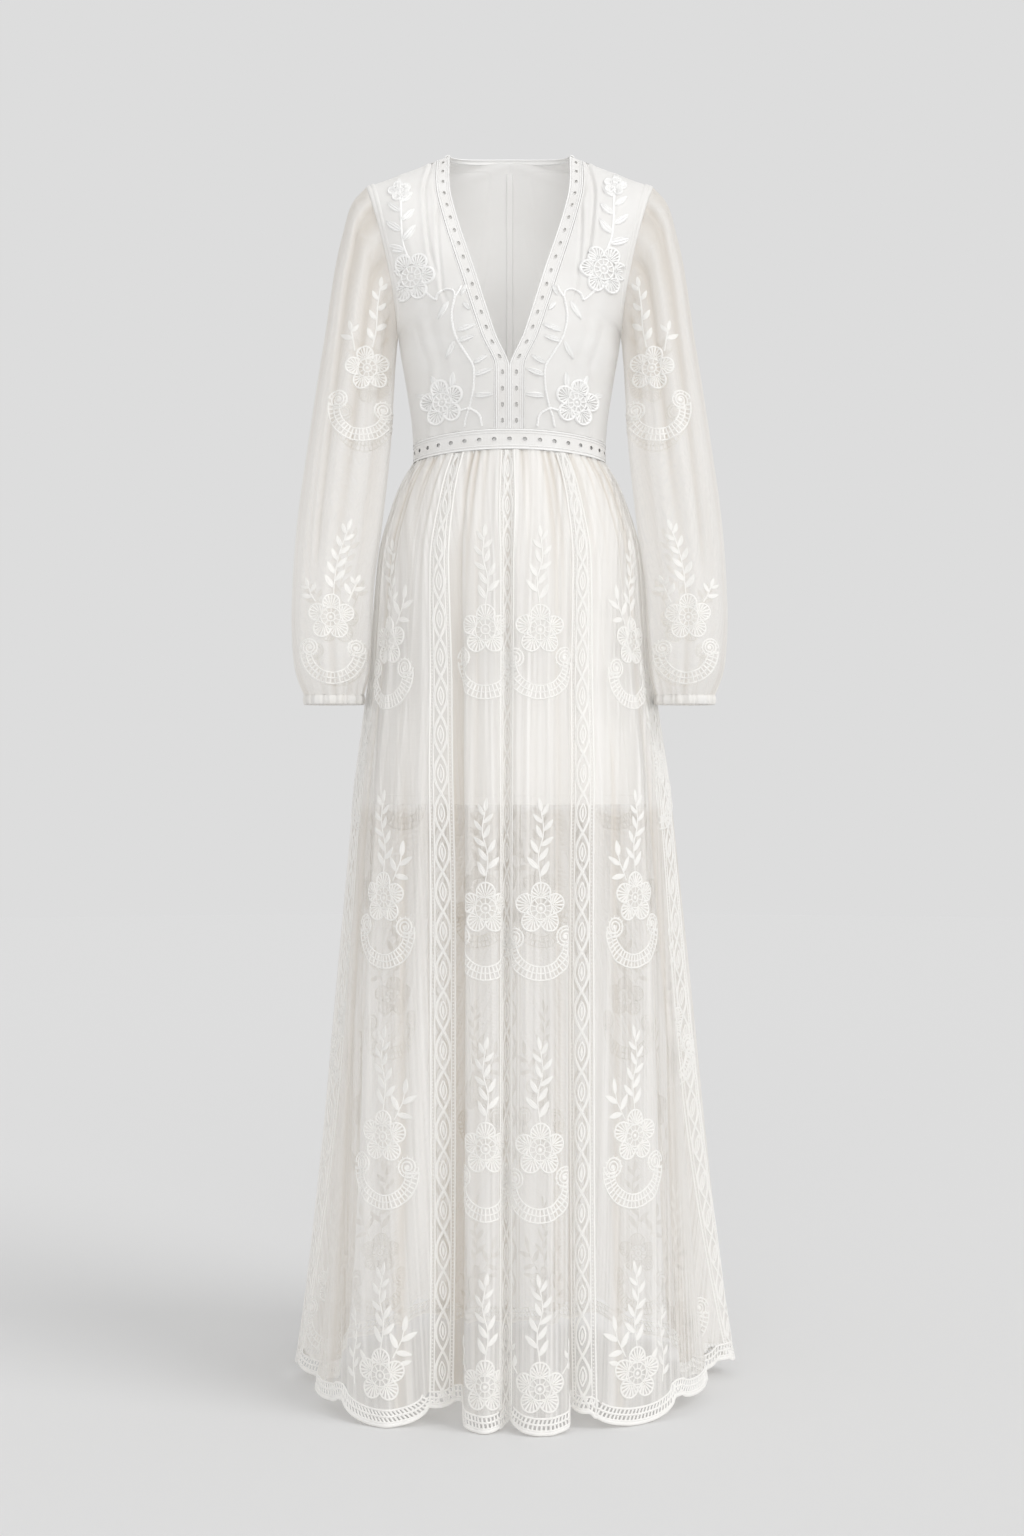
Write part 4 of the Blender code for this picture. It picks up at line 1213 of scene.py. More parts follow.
MESH = sheer("sheer_mesh", 0.48, 0.25, (140, 2.2), 0.16)
SLEEVE_MESH = sheer("sleeve_mesh", 0.45, 0.3, (9, 5), 0.01, painted_shade_strength=0.85)
LACE_GROUND = sheer("lace_ground", 0.36, 0.25, (30, 5), 0.02, painted_shade_strength=0.8)
CREPE = opaque("bodice_crepe", CREPE_WHITE, CREPE_SHADE, (700, 700), 0.15 * MM, 0.35, glow=0.25)
LINING = opaque("lining", WHITE, WHITE, (1100, 1100), 0.08 * MM, 0.25, sheen=0.15, roughness=0.5)
SLIP_CLOTH = opaque("slip_cloth", SLIP_WHITE, SLIP_WHITE, (1100, 1100), 0.08 * MM, 0.25, sheen=0.15, roughness=0.5)
CUFF_CLOTH = opaque("cuff_cloth", CUFF_IVORY, IVORY, (560, 560), 0.2 * MM, 0.4)
TRIM = opaque("trim_tape", IVORY, SHADE, (560, 560), 0.2 * MM, 0.4)
THREAD = opaque("bodice_thread", COTTON, COTTON, (1250, 300), 0.35 * MM, 0.5, roughness=0.5)
LACE_THREAD = opaque("lace_thread", NET_COTTON, NET_COTTON, (1250, 300), 0.2 * MM, 0.3, roughness=0.5, glow=0.2)


# ---------------------------------------------------------------- skirt, lace bands and slip

COLUMN = 2.7 * MM
HEM_BORDER = 19 * MM
HEM_EDGE = 4.6 * MM
HEM_ROWS = 9
HEM_ZONE = 46 * MM
BORDER_CORDS = ((1.2 * MM, 2.3 * MM), (5.9 * MM, 1.7 * MM))
DOT_INSET = 3.6 * MM
DOT_PITCH = 4.2 * MM
OVAL_LENGTH = 45 * MM
OVAL_WIDTH = 17.5 * MM
OVAL_TWIN = 0.8 * MM
OVAL_LEAF = 6.5 * MM
INNER_OVAL = mm([3.8, 11])
LEAST_NARROWING = 0.55
FULL_HALF_BAND = 16 * MM


def lengths_at(z, angle):
    """The lengths along the skirt's rows, from the centre front, at heights and an angle."""
    z, angle = np.broadcast_arrays(np.asarray(z, float), np.asarray(angle, float))
    return skirt.length_at(skirt.row_at(-z), angle_column(angle))


def band_edge(row, z, side, turn=0):
    """The length at which a lace band starts or ends, at heights."""
    middle = lengths_at(z, line_angle(row, z) + turn)
    return middle + side * table_curve(BAND_WIDTH, "width", z) / 2


def hem_lift(lengths):
    """How far the hem lies above its lowest line, at lengths along it."""
    lift = np.full(np.shape(lengths), SCALLOP_TOP)
    whole = float(lengths_at(HEM, 180) - lengths_at(HEM, -180))
    scallops = [(float(lengths_at(HEM, row.angle)), row.width * MM, row.depth * MM) for row in SCALLOPS]
    for row in BANDS:
        start, end = (float(band_edge(row, HEM, side)) for side in (-1, 1))
        scallops.append(((start + end) / 2, end - start, BAND_SCALLOP_DEPTH))
    for middle, width, depth in scallops:
        away = (lengths - middle + whole / 2) % whole - whole / 2
        lift = lift - depth * np.sqrt(np.clip(1 - (2 * away / width) ** 2, 0, 1))
    return np.maximum(lift, 0)


def skirt_cloth(piece, start, end):
    """Adds the skirt's cloth between two lines, down to the hem's border."""
    hem = np.array([HEM])
    shares = np.linspace(0, 1, int(np.ceil(float((end(hem) - start(hem))[0]) / COLUMN)) + 1)
    levels = -skirt.down[-skirt.down > HEM + HEM_ZONE][:, None] * np.ones(len(shares))
    bottom = HEM + hem_lift(start(hem) + (end(hem) - start(hem)) * shares) + HEM_BORDER
    z = np.concatenate([levels, levels[-1] + (bottom - levels[-1]) * np.linspace(0, 1, HEM_ROWS)[1:, None]])
    lengths = start(z) + (end(z) - start(z)) * shares
    row = skirt.row_at(-z)
    lay_cloth(piece, skirt, row, skirt.column_at(row, lengths), lengths, z)


def hem_line(start, end, rise, step=3 * MM):
    """A line that follows the hem at a height above it, in lengths and heights."""
    hem = np.array([HEM])
    first, last = float(start(hem)[0]), float(end(hem)[0])
    lengths = np.linspace(first, last, max(int((last - first) / step), 2) + 1)
    return np.column_stack([lengths, HEM + hem_lift(lengths) + rise])


def hem_border(stitches, start, end):
    """The border's solid edge, with two rows of eyelets between cords above it."""
    stitches.cord(hem_line(start, end, HEM_EDGE / 2), HEM_EDGE, 1.3 * MM)
    width = HEM_BORDER - HEM_EDGE - 1 * MM
    stitches.ladder(hem_line(start, end, (HEM_EDGE + HEM_BORDER) / 2), width, thread=2.4 * MM, rung=2.4 * MM)


def lace_band(stitches, row):
    """Crossing twin cords that make pointed ovals, a leaf in each, between two borders of cords and dots."""
    levels = np.linspace(WAIST_BOTTOM - 1 * MM, HEM + HEM_BORDER + 4 * MM, 300)
    middle = lengths_at(levels, line_angle(row, levels))
    half = table_curve(BAND_WIDTH, "width", levels) / 2
    narrow = np.clip(half / FULL_HALF_BAND, LEAST_NARROWING, 1)
    for side in (-1, 1):
        for inset, thread in BORDER_CORDS:
            stitches.cord(np.column_stack([middle + side * (half - inset), levels]), thread)
        dots = np.column_stack([middle + side * (half - DOT_INSET), levels])
        for at in np.arange(3 * MM, length_of(dots), DOT_PITCH):
            stitches.dot(along(dots, at), 0.9 * MM, 0.9 * MM)
        swing = OVAL_WIDTH / 2 * np.sin(np.pi * (levels - levels[0]) / OVAL_LENGTH) * side * narrow
        for offset in (-OVAL_TWIN, OVAL_TWIN):
            stitches.cord(np.column_stack([middle + swing + offset, levels]), 1.6 * MM, 0.9 * MM)
    wide, tall = np.sin(np.linspace(0, np.pi, 9)), np.linspace(-1, 1, 9)
    for i in range(int((levels[0] - levels[-1]) / OVAL_LENGTH)):
        z = levels[0] - (i + 0.5) * OVAL_LENGTH
        size, across = (float(np.interp(-z, -levels, values)) for values in (narrow, middle))
        centre = np.array([across, z])
        for side in (-1, 1):
            oval = np.column_stack([side * size * wide, tall]) * INNER_OVAL
            stitches.cord(centre + oval, 1.8 * MM)
        stitches.leaf(centre - [0, OVAL_LEAF], centre + [0, OVAL_LEAF], 3.2 * MM * size, 0.8 * MM)


# The columns of flowers: the line of angles that each follows, the size of its flowers, whether it mirrors
# the wearer's left, and the heights of its flowers. A bouquet without a garland stands on the hem.
FLOWER_COLUMNS = table(
    "hip knee hem radius mirror heights",
    (12.6, 9.7, 7.4, 29, 1, (-587, -906, -1174, -1435)),
    (-10, -7.6, -6.2, 29, -1, (-587, -906, -1174, -1435)),
    (64, 45, 34, 29, 1, (-597, -897, -1167, -1430)),
    (-62, -44, -33, 29, -1, (-597, -897, -1167, -1430)),
    (79, 79, 79, 24, 1, (-740, -1050, -1367)),
    (-79, -79, -79, 24, -1, (-740, -1050, -1367)),
    (112, 112, 111, 25, -1, (-600, -900, -1170, -1434)),
    (-112, -112, -111, 25, 1, (-600, -900, -1170, -1434)),
    (132, 133, 133, 25, 1, (-745, -1040, -1372)),
    (-132, -133, -133, 25, -1, (-745, -1040, -1372)),
    (167, 168, 169, 26, -1, (-590, -902, -1172, -1433)),
    (-167, -168, -169, 26, 1, (-590, -902, -1172, -1433)),
)
LOWEST_GARLAND = -1400
WIDE_PANEL = 20
SIDE_STEM = mm([(-15, 20), (-20, 30), (-25, 40), (-27, 49)])
SIDE_LEAVES = mm([((-27, 48), (-30, 67)), ((-20, 30), (-11, 48)), ((-24, 38), (-43, 48)), ((-18, 26), (-37, 23))])
HEM_STEM = mm([(36, -14), (39, 12), (35, 40), (38, 58)])
HEM_LEAVES = mm([((-22, 12), (-37, 16)), ((20, 12), (28, 25))])
NARROW_STEM = mm([(27, 14), (36, 26), (38, 40)])


def bouquet(stitches, radius, garland, wide):
    """A flower under a tall sprig, over a garland or on the hem. A wide panel has small sprigs beside it."""
    sway = 3 * MM
    stem = [(0, radius * 0.95), (-sway, radius + 30 * MM), (sway, radius + 58 * MM), (0, radius + 80 * MM)]
    stitches.sprig(stem, 9, 20.5 * MM, 7 * MM)
    stitches.flower((0, 0), radius)
    if garland:
        stitches.garland(mm([0, -37]), 36 * MM, 15 * MM, 13 * MM)
    if wide:
        for start, end in SIDE_LEAVES:
            stitches.leaf(start, end, 7 * MM)
        stitches.cord(SIDE_STEM, 1.6 * MM)
    if wide and not garland:
        stitches.sprig(HEM_STEM, 7, 15 * MM, 5.2 * MM, spread=36)
        for start, end in HEM_LEAVES:
            stitches.leaf(start, end, 6 * MM)
    if not wide and not garland:
        for sign in (-1, 1):
            stitches.sprig(NARROW_STEM * [sign, 1], 3, 14 * MM, 6 * MM, spread=45, bare=0.3)


def panel_flowers(stitches, first, last):
    """The bouquets whose columns lie between two angles at the hem."""
    reach = 60 * MM
    for row in FLOWER_COLUMNS:
        if not first < row.hem < last:
            continue
        for height in row.heights:
            z = height * MM
            levels = np.array([z - reach, z, z + reach])
            lengths = lengths_at(levels, line_angle(row, levels))
            lean = float(lengths[2] - lengths[0]) / (2 * reach)
            stitches.set_down(float(lengths[1]), z, lean, row.mirror)
            bouquet(stitches, row.radius * MM, height > LOWEST_GARLAND, abs(row.hem) > WIDE_PANEL)
    stitches.set_down(0, 0)


def edge_of(row, side, turn=0):
    return lambda z: band_edge(row, z, side, turn)


on_skirt = on_surface(skirt)
for number, (band, panel) in enumerate(zip(BANDS, PANELS)):
    cloth = Piece(f"cloth_{band.name}")
    skirt_cloth(cloth, edge_of(band, -1), edge_of(band, 1))
    lace = Piece(f"embroidery_{band.name}")
    cloth.build(LACE_GROUND, "lace", band.name, held="hung", rests_on=["trim_waist"], others=[lace.name])
    follow = BANDS[(number + 1) % len(BANDS)]
    turn = -360 if follow.hem < 0 and band.hem > 90 else 0
    start, end = edge_of(band, 1, turn), edge_of(follow, -1)
    cloth = Piece(f"cloth_{panel}")
    skirt_cloth(cloth, start, end)
    flowers = Piece(f"embroidery_{panel}")
    cloth.build(MESH, "mesh", panel, held="gathered", rests_on=["trim_waist"], others=[flowers.name])
    stitches = Stitches()
    lace_band(stitches, band)
    hem_border(stitches, edge_of(band, -1), edge_of(band, 1))
    stitches.onto(lace, on_skirt)
    lace.build(LACE_THREAD, "lace")
    stitches = Stitches()
    hem_border(stitches, start, end)
    panel_flowers(stitches, (band.hem if turn == 0 else -180), follow.hem)
    stitches.onto(flowers, on_skirt)
    flowers.build(LACE_THREAD, "lace")


def ring_cloth(piece, surface, start, end, columns):
    """Adds the part of a ring surface between two angles."""
    row = np.arange(len(surface.down), dtype=float)[:, None]
    column = angle_column(np.linspace(start, end, columns))
    lay_cloth(piece, surface, row, column, surface.length_at(row, column), -surface.down[:, None])


def slip_hem(stitches, start, end):
    """The line of stitches above the slip's edge, and the turned edge itself."""
    for rise, width in ((0.8 * MM, 1.8 * MM), (11 * MM, 0.9 * MM)):
        z = -slip.down[-1] + rise
        first, last = (float(slip.length_at(slip.row_at(-z), angle_column(angle))) for angle in (start, end))
        at = np.arange(first, last, 6 * MM)
        stitches.cord(np.column_stack([at, np.full(len(at), z)]), width, 0.4 * MM)


for name, parts in (("slip_front", ((-90, 90),)), ("slip_back", ((90, 180), (-180, -90)))):
    cloth = Piece(f"cloth_{name}")
    seams = Piece(f"hem_{name}")
    for start, end in parts:
        ring_cloth(cloth, slip, start, end, int((end - start) * 1.5))
        stitches = Stitches()
        slip_hem(stitches, start, end)
        stitches.onto(seams, on_surface(slip))
    cloth.build(SLIP_CLOTH, "lining", name, merge=WELD, held="hung", rests_on=["trim_waist"], others=[seams.name])
    seams.build(SLIP_CLOTH, "lining")


# ---------------------------------------------------------------- strips with eyelets

NECK_EYELETS = 16
PLACKET_EYELETS = 4
WAIST_EYELETS = 35
NECK_HOLE = mm([2.9, 1.7])
WAIST_HOLE = mm([2.7, 2.3])
NECK_CORDS = ((-7.4, 1.5), (-4.8, 0.8), (4.8, 0.8), (7.4, 1.5), (9.6, 1))
WAIST_CORDS = ((-10.9, 1.8), (-7.6, 1), (7.6, 1), (10.9, 1.8))
RIM = 0.4 * MM
RIM_PROFILE = ((1, 0), (1.08, 0.8), (1.4, 1), (1.62, 0), (1.75, 0))


def eyelets(piece, place, length, width, count, hole, start=0.0):
    """A strip with a row of eyelets, each with a stitched rim. hole is its half length and half width."""
    pitch = length / count
    corner = np.array([(1, 0), (1, 0.5), (1, 1), (0.5, 1), (0, 1), (-0.5, 1), (-1, 1), (-1, 0.5)])
    edge = np.concatenate([corner, -corner])
    oval = pointing(np.arctan2(edge[:, 1], edge[:, 0]))
    rings = np.concatenate([oval * hole * size for size, _ in RIM_PROFILE] + [edge * [pitch / 2, width / 2]])
    heights = np.repeat([RIM * up for _, up in RIM_PROFILE] + [0], len(edge))
    here = np.arange(len(edge))
    after = np.roll(here, -1)
    ring = len(edge) * np.arange(len(RIM_PROFILE))[:, None]
    faces = np.stack([ring + here, ring + after, ring + len(edge) + after, ring + len(edge) + here], axis=-1)
    piece.cuts.append((length, width, length * width))
    for cell in range(count):
        flat = rings + [start + (cell + 0.5) * pitch, 0]
        piece.add(place(flat, heights)[0], faces.reshape(-1, 4), flat)


def along_neck(flat, height):
    """Places a strip along the neck edge: u is the way down the edge and v the way across the trim."""
    return placed(bodice_front, bodice_front.row_at(flat[:, 0]), flat[:, 1] + TRIM_WIDTH / 2, height)


def along_waist(flat, height):
    """Places a strip along the waistband: u is the way round it and v the way up from its middle."""
    return placed(waist, waist.row_at((WAIST_TOP - WAIST_BOTTOM) / 2 - flat[:, 1]), flat[:, 0], height)


def line_between(start, end, across, step=4 * MM):
    at = np.linspace(start, end, max(int((end - start) / step), 2) + 1)
    return np.column_stack([at, np.full(len(at), across)])


def edge_cords(name, place, start, end, cords):
    """A piece of straight cords along a strip, each so far across it and of such a width, in millimetres."""
    stitches, piece = Stitches(), Piece(name)
    for across, width in cords:
        stitches.cord(line_between(start, end, across * MM), width * MM)
    stitches.onto(piece, place)
    return piece


V_HEIGHT = -273 * MM
V_POINT = float(np.interp(-V_HEIGHT, -bodice_front.points[:, 0, 2], bodice_front.down))
NECK_LENGTH = float(bodice_front.down[-1])


def both_sides(piece, name, cloth, slot, replaces=None, rests_on=(), others=(), **settings):
    """A piece on the wearer's left and its mirror image on the wearer's right."""
    for side, made in (("left", piece), ("right", piece.mirrored(f"{piece.name}_right"))):
        made.name = f"{name}_{side}"
        under, lines = ([each.format(side=side) for each in names] for names in (rests_on, others))
        replaced = replaces and f"{replaces}_{side}"
        made.build(cloth, slot, replaces=replaced, rests_on=under, others=lines, **settings)


trim = Piece("trim")
eyelets(trim, along_neck, V_POINT, TRIM_WIDTH, NECK_EYELETS, NECK_HOLE)
eyelets(trim, along_neck, NECK_LENGTH - V_POINT, TRIM_WIDTH, PLACKET_EYELETS, NECK_HOLE, start=V_POINT)
under, lines = ("cloth_bodice_front_{side}",), ("cords_neck_{side}",)
both_sides(trim, "trim_neck", TRIM, "trim", "neck_trim", merge=WELD, held="laid", rests_on=under, others=lines)
cords = edge_cords("cords", along_neck, 0.5 * MM, NECK_LENGTH, NECK_CORDS)
both_sides(cords, "cords_neck", THREAD, "trim")

half_waist = float(waist.length_at(0, angle_column(180)))
trim = Piece("trim_waist")
eyelets(trim, along_waist, 2 * half_waist, WAIST_TOP - WAIST_BOTTOM, WAIST_EYELETS, WAIST_HOLE, start=-half_waist)
under = ["cloth_bodice_front_left", "cloth_bodice_front_right"]
trim.build(TRIM, "trim", "waistband", merge=WELD, held="hung", rests_on=under, others=["cords_waist"])
edge_cords("cords_waist", along_waist, -half_waist, half_waist, WAIST_CORDS).build(THREAD, "trim")


# ---------------------------------------------------------------- bodice, sleeves and bindings


CHEST = mm([0, 0, -150])
GROOVE_WIDTH = 0.12
SEAM_WIDTH = 1.6 * MM
HALF_COLUMNS = 72
CUFF_WALL = 0.7 * MM
CUFF_ROWS = 9
CUFF_BULGE = 1.5 * MM
BINDING_WALL = 1 * MM
TAPE_DEPTH = 2.2 * MM
TAPE_START = 3
TAPE_END = 4


def puffed(strip, height, groove=0.0):
    """The same strip, rounded up from its two edges, away from the middle of the chest, with a groove along it."""
    across, ahead = np.gradient(strip, axis=0), np.gradient(strip, axis=1)
    normals = unit(np.cross(across, ahead))
    normals *= np.sign((normals * (strip - CHEST)).sum(axis=-1, keepdims=True))
    share = np.linspace(0, 1, len(strip))[:, None, None]
    rise = height * np.sin(np.pi * share) ** 0.5 - groove * ridge(share - 0.5, GROOVE_WIDTH)
    return strip + normals * rise


def band_flat(strip, widths):
    """The flat coordinates of a narrow band: its length along its middle line and its width."""
    return np.stack(np.broadcast_arrays(travelled(strip[len(strip) // 2]), widths[:, None]), axis=-1)


def half_cloth(surface, name, material, slot, depth=0.0, under=0.0, seam=0.0, **settings):
    """Half of the bodice's cloth, which lies a little deeper under the trim on its inner edge or at a seam there."""
    row = np.arange(len(surface.down), dtype=float)[:, None]
    lengths = surface.run[:, -1:] * np.linspace(0, 1, HALF_COLUMNS) ** 1.3
    depth = depth + under * np.clip((TRIM_WIDTH - lengths) / (3 * MM) + 0.5, 0, 1)
    depth = (depth + seam * ridge(lengths, SEAM_WIDTH))[..., None]
    cloth = Piece(name)
    lay_cloth(cloth, surface, row, surface.column_at(row, lengths), lengths, -surface.down[:, None], depth)
    both_sides(cloth, f"cloth_{name}", material, slot, name, **settings)


seams = ("cloth_armhole_band_{side}", "cloth_back_neck_binding")
chest = ("embroidery_bodice_{side}",)
half_cloth(bodice_front, "bodice_front", CREPE, "bodice", under=2 * MM, held="hung", rests_on=seams, others=chest)
half_cloth(bodice_back, "bodice_back", CREPE, "bodice", seam=1 * MM, held="hung", rests_on=seams)
half_cloth(bodice_back, "back_lining", LINING, "lining", depth=LINING_DEPTH, held="hung", rests_on=seams)

cloth = Piece("sleeve")
around = np.arange(int(360 / SLEEVE_STEP) + 1) + int(SLEEVE_OVERLAP / SLEEVE_STEP)
lengths = sleeve.run[:, around]
lay_cloth(cloth, sleeve, np.arange(len(sleeve.down))[:, None], around, lengths, -sleeve.down[:, None])
hold = {"held": "gathered", "rests_on": ("cloth_armhole_band_{side}",), "others": ("embroidery_sleeve_{side}",)}
both_sides(cloth, "cloth_sleeve", SLEEVE_MESH, "mesh", "sleeve", merge=WELD, **hold)

ring = sleeve.points[-1, around]
z = np.linspace(ring[0, 2], CUFF_BOTTOM, CUFF_ROWS)
cuff = np.array([ring * [1, 1, 0] + [0, 0, level] for level in z])
bulge = CUFF_BULGE * np.sin(np.pi * np.linspace(0, 1, CUFF_ROWS))[:, None, None]
cuff = cuff + unit(cuff - cuff.mean(axis=1, keepdims=True)) * bulge
cloth = Piece("cuff")
cloth.add_grid(cuff, np.stack(np.broadcast_arrays(lengths[-1], z[:, None]), axis=-1), outward=sleeve.outward)
hold = {"held": "hung", "rests_on": ("cloth_sleeve_{side}",)}
both_sides(cloth, "cloth_cuff", CUFF_CLOTH, "trim", "cuff", merge=WELD, thick=CUFF_WALL, **hold)

angles = np.arange(-180, 181, 3)
widths = np.linspace(0, ARMHOLE_BAND_WIDTH, 13)
grid = np.array([[armhole(angle, width) for angle in angles] for width in widths])
flat = band_flat(grid, widths)
cloth = Piece("armhole")
cloth.add_grid(puffed(grid, 1.6 * MM, groove=1 * MM), flat)
under = ("cloth_bodice_front_{side}", "cloth_bodice_back_{side}")
both_sides(cloth, "cloth_armhole_band", CREPE, "trim", "armhole_band", merge=WELD, held="laid", rests_on=under)

turns = np.arange(-90, 91, 3)
widths = np.linspace(0, BINDING_WIDTH, 6)
grid = np.array([[back_neck(abs(turn), width) * [np.sign(turn) or 1, 1, 1] for turn in turns] for width in widths])
flat = band_flat(grid, widths)
cloth = Piece("cloth_back_neck_binding")
cloth.add_grid(puffed(grid, 1.2 * MM), flat)
backs = ["cloth_bodice_back_left", "cloth_bodice_back_right"]
cloth.build(LINING, "trim", "back_neck_binding", thick=BINDING_WALL, held="folded", rests_on=backs)

row = np.arange(TAPE_START * BODICE_FINE + 1, len(bodice_back.down), dtype=float)[:, None]
points, normals = bodice_back.read(row, bodice_back.column_at(row, np.linspace(0, TAPE_WIDTH / 2, 3)))
sunk = np.clip(0.3 + 0.7 * np.arange(len(row)) / TAPE_END, 0, 1)[:, None, None]
points = points - normals * sunk * [0, TAPE_DEPTH, TAPE_DEPTH]
tape = np.concatenate([points[:, :0:-1] * [-1, 1, 1], points], axis=1)
flat = np.stack(np.broadcast_arrays(np.linspace(-TAPE_WIDTH / 2, TAPE_WIDTH / 2, 5), tape[..., 2]), axis=-1)
cloth = Piece("cloth_centre_back_tape")
linings = ["cloth_back_lining_left", "cloth_back_lining_right"]
cloth.add_grid(tape, flat)
cloth.build(LINING, "lining", "centre_back_tape", thick=0.4 * MM, held="laid", rests_on=linings)


# ---------------------------------------------------------------- embroidery on the sleeves and the bodice

# The sleeve's two motifs: where each flower is, its size and facing, its garland's centre, size, width, curl and
# ends, and the sprigs about it: points along each, its number of leaves, their size, spread and bare part.
SLEEVE_MOTIFS = table(
    "place radius facing garland ends sprigs",
    (
        (170, -269), 26, 80, ((8, -48), 32, 14, 12), (190, 372),
        (
            (((-6, 25), (-10, 46), (-12, 75), (-15, 98)), 6, (17, 7), 38, 0.12),
            (((15, 20), (17, 34), (19, 44)), 2, (17, 6.5), 55, 0.6),
        ),
    ),
    (
        (212, -568), 27, 92, ((-2, -40), 32, 13, 11), (180, 360),
        (
            (((-3, 27), (-6, 58), (-12, 83), (-19, 103)), 9, (19, 7.5), 38, 0.1),
            (((-20, 18), (-25, 30), (-29, 40)), 3, (16, 6.5), 50, 0.4),
            (((18, 18), (24, 28), (27, 36)), 3, (15, 6), 50, 0.4),
        ),
    ),
)


def sleeve_stitches(stitches, side):
    """What is seen of a sleeve on the wearer's left, from the front where side is 1 and the back where -1."""
    for row in SLEEVE_MOTIFS:
        stitches.set_down(*mm(row.place) * [side, 1], mirror=side)
        stitches.flower((0, 0), row.radius * MM, facing=row.facing)
        for line, leaves, size, spread, bare in row.sprigs:
            stitches.sprig(mm(line), leaves, *mm(size), spread=spread, bare=bare)
        centre, *sizes = row.garland
        stitches.garland(mm(centre), *mm(sizes), *row.ends)
    stitches.set_down(0, 0)


# What is stitched on the bodice as the front shows it, on the wearer's left: leaves from a start to an end,
# and vines through several points.
BODICE_LEAVES = table(
    "start end width",
    ((61.7, -232), (38.6, -225), 7.5),
    ((61.7, -244.5), (39.8, -238.4), 7),
    ((64.2, -243), (75.2, -264), 6.5),
    ((42.2, -271), (25.2, -261.6), 6.5),
    ((42.2, -284.8), (19, -277.4), 7),
    ((42.2, -308), (18, -306.7), 7),
    ((71.5, -195.8), (84.9, -216.5), 7),
    ((54.4, -198.2), (45.9, -208), 6),
    ((67.8, -298), (66.5, -279), 7.5),
    ((84, -297), (93, -281), 6.5),
    ((99, -305), (112, -299), 6),
    ((57, -190), (50, -176), 5),
)
BODICE_VINES = (
    ((64.2, -191), (67.8, -213), (64.2, -235), (49.6, -261.6), (43.5, -271.4), (42.2, -298), (47.1, -321.3)),
    ((47.1, -321.3), (35.5, -330), (32.5, -342.5)),
    ((47.1, -321.3), (51, -332), (53.2, -342.5)),
    ((47.1, -321.3), (57, -323.5), (66.6, -323.8)),
    ((64.2, -191), (66, -184), (74, -181), (83, -185), (87.3, -193.3)),
    ((64.2, -191), (60, -185), (56.9, -177.5)),
    ((104, -176), (95, -186), (87, -193)),
)
BODICE_RAISED = 2.4 * MM
BODICE_SPRIG = mm([(116, -131), (121, -118), (124, -95), (125, -70), (127, -45)])


def bodice_stitches(stitches, shift):
    """The bodice's thicker embroidery. shift moves what is above the bust."""
    thread = 3 * MM
    for row in BODICE_LEAVES:
        stitches.leaf(mm(row.start), mm(row.end), row.width * MM, BODICE_RAISED)
    for line in BODICE_VINES:
        stitches.beaded(mm(line), thread, BODICE_RAISED)
    stitches.set_down(*mm(shift))
    stitches.sprig(BODICE_SPRIG, 7, 26 * MM, 10 * MM, spread=48, stem=thread, height=BODICE_RAISED)
    stitches.flower(BODICE_SPRIG[-1], 14 * MM, facing=75, thread=2 * MM, height=BODICE_RAISED)
    stitches.flower(mm([112, -154]), 28 * MM, facing=60, petals=6, thread=thread, height=BODICE_RAISED)
    stitches.set_down(0, 0)
    stitches.flower(mm([80, -313]), 26 * MM, facing=80, thread=thread, height=BODICE_RAISED)


from_front = seen_along(sleeve, (0, 1))
from_back = seen_along(sleeve, (0, -1))
bodice_seen = seen_along(bodice_front, (0, 1))
for side, shift in (("left", (0, 0)), ("right", (5, -8))):
    lace = Piece(f"embroidery_sleeve_{side}")
    for way, place in ((1, from_front), (-1, from_back)):
        drawn = Stitches()
        sleeve_stitches(drawn, way)
        drawn.onto(lace, place)
    chest = Stitches()
    bodice_stitches(chest, shift)
    raised = Piece(f"embroidery_bodice_{side}")
    chest.onto(raised, bodice_seen)
    for piece, thread, slot in ((lace, LACE_THREAD, "lace"), (raised, THREAD, "bodice")):
        piece = piece if side == "left" else piece.mirrored(piece.name)
        piece.build(thread, slot)


# ---------------------------------------------------------------- stage, light and camera

BACKGROUND = 0.723
KEY = 0.95
FILL = 1.02
KEY_WAY = (-0.78, 0.5, -0.72)
FILL_WAY = (-0.05, 1, -0.08)
KEY_SPREAD = 35
FILL_SPREAD = 60
FLOOR_DROP = 1 * MM
FLOOR_RADIUS = 9
FLOOR_SIDES = 64
CAMERA_PLACE = (0.003, -2.83, -0.747)
CAMERA_LENS = 54.4


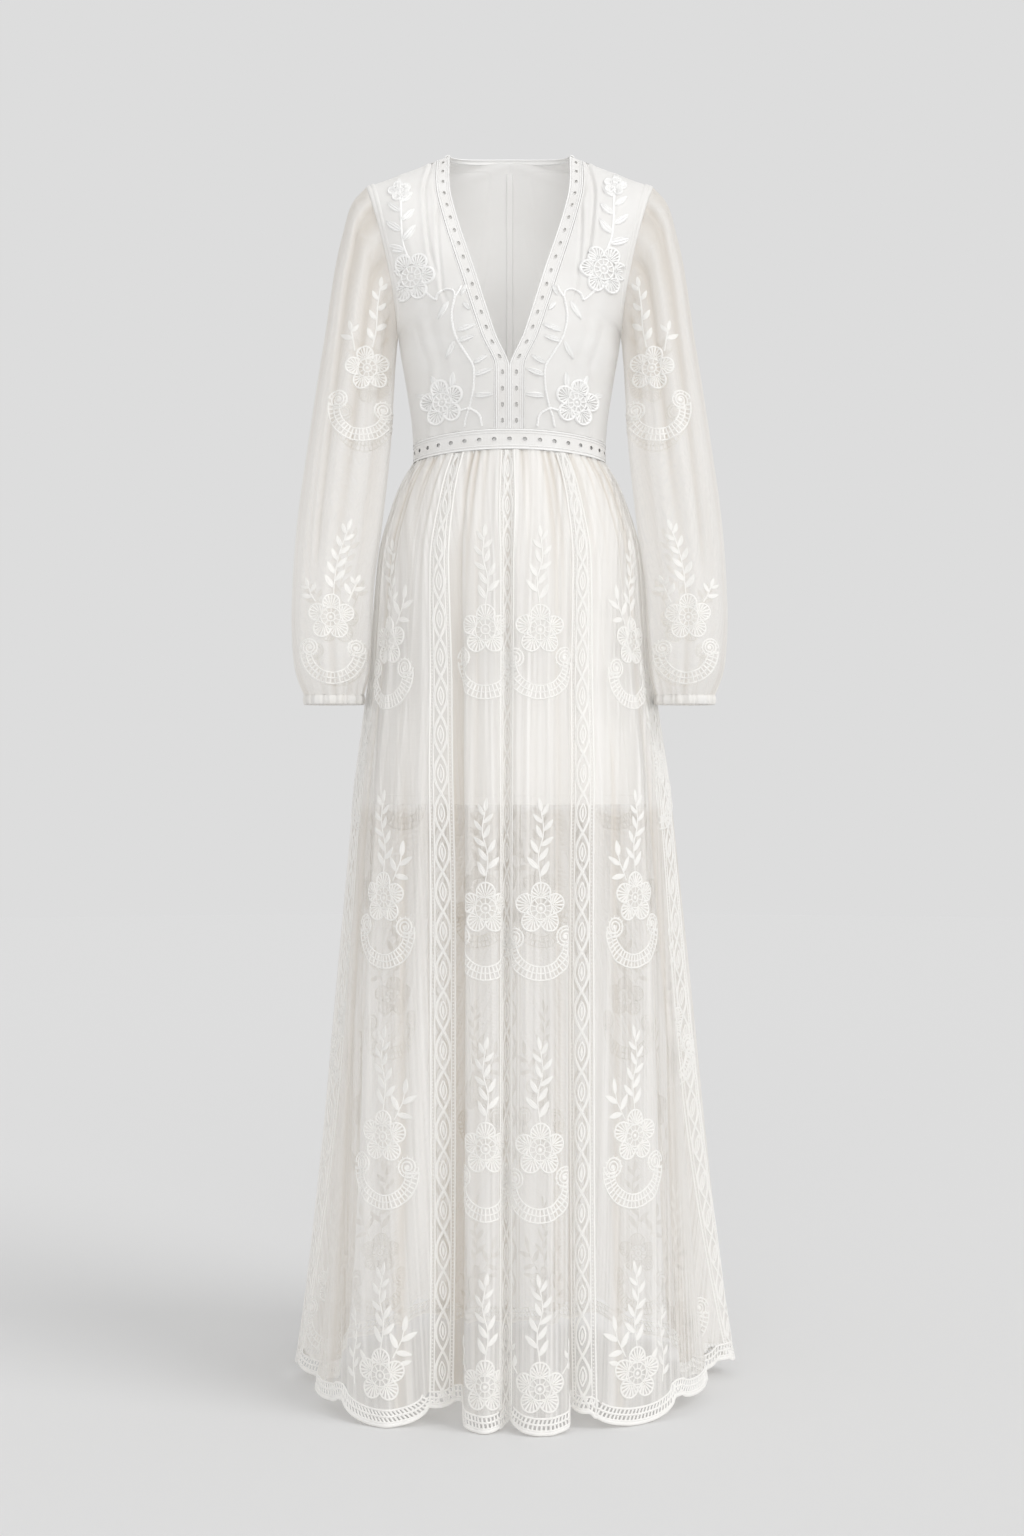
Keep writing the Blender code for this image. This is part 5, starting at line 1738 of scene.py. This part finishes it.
def sun(name, way, strength, soft):
    light = bpy.data.lights.new(name, "SUN")
    light.energy, light.angle = strength, np.radians(soft)
    made = bpy.data.objects.new(name, light)
    made.rotation_euler = Vector(way).to_track_quat("-Z", "Y").to_euler()
    bpy.context.scene.collection.objects.link(made)


def falling_share(way, soft, rays=400):
    """The part of a wide sun's light that falls on a level floor, over rays spread evenly across the sun."""
    way = unit(np.array(way, float))
    side = unit(np.cross(way, [0, 0, 1]))
    number = np.arange(rays)
    reach = np.tan(np.radians(soft / 2)) * np.sqrt((number + 0.5) / rays)
    turn = number * np.pi * (3 - 5**0.5)
    spread = np.outer(reach * np.cos(turn), side) + np.outer(reach * np.sin(turn), np.cross(side, way))
    return float(np.clip(-unit(way + spread)[:, 2], 0, None).mean())


sun("key", KEY_WAY, KEY, KEY_SPREAD)
sun("fill", FILL_WAY, FILL, FILL_SPREAD)
scene = bpy.context.scene
scene.world = bpy.data.worlds.new("studio")
scene.world.use_nodes = True
sky = scene.world.node_tree.nodes["Background"]
sky.inputs["Color"].default_value = (BACKGROUND, BACKGROUND, BACKGROUND, 1)
scene.view_settings.view_transform = "Standard"

falling = KEY * falling_share(KEY_WAY, KEY_SPREAD) + FILL * falling_share(FILL_WAY, FILL_SPREAD)
grey = BACKGROUND / (BACKGROUND + falling / np.pi)
outline = pointing(np.linspace(0, 2 * np.pi, FLOOR_SIDES + 1)[:-1]) * FLOOR_RADIUS
outline = np.column_stack([outline, np.full(FLOOR_SIDES, HEM - FLOOR_DROP)])
mesh = bpy.data.meshes.new("floor")
mesh.from_pydata(outline.tolist(), [], [range(FLOOR_SIDES)])
floor = bpy.data.objects.new("floor", mesh)
paint = bpy.data.materials.new("floor_paint")
paint.use_nodes = True
shader = paint.node_tree.nodes["Principled BSDF"]
shader.inputs["Base Color"].default_value = (grey, grey, grey, 1)
shader.inputs["Roughness"].default_value = 1
shader.inputs["Specular IOR Level"].default_value = 0
mesh.materials.append(paint)
scene.collection.objects.link(floor)

camera = bpy.data.objects.new("camera", bpy.data.cameras.new("camera"))
camera.data.lens = CAMERA_LENS
camera.location = CAMERA_PLACE
camera.rotation_euler = (np.radians(90), 0, 0)
scene.collection.objects.link(camera)
scene.camera = camera
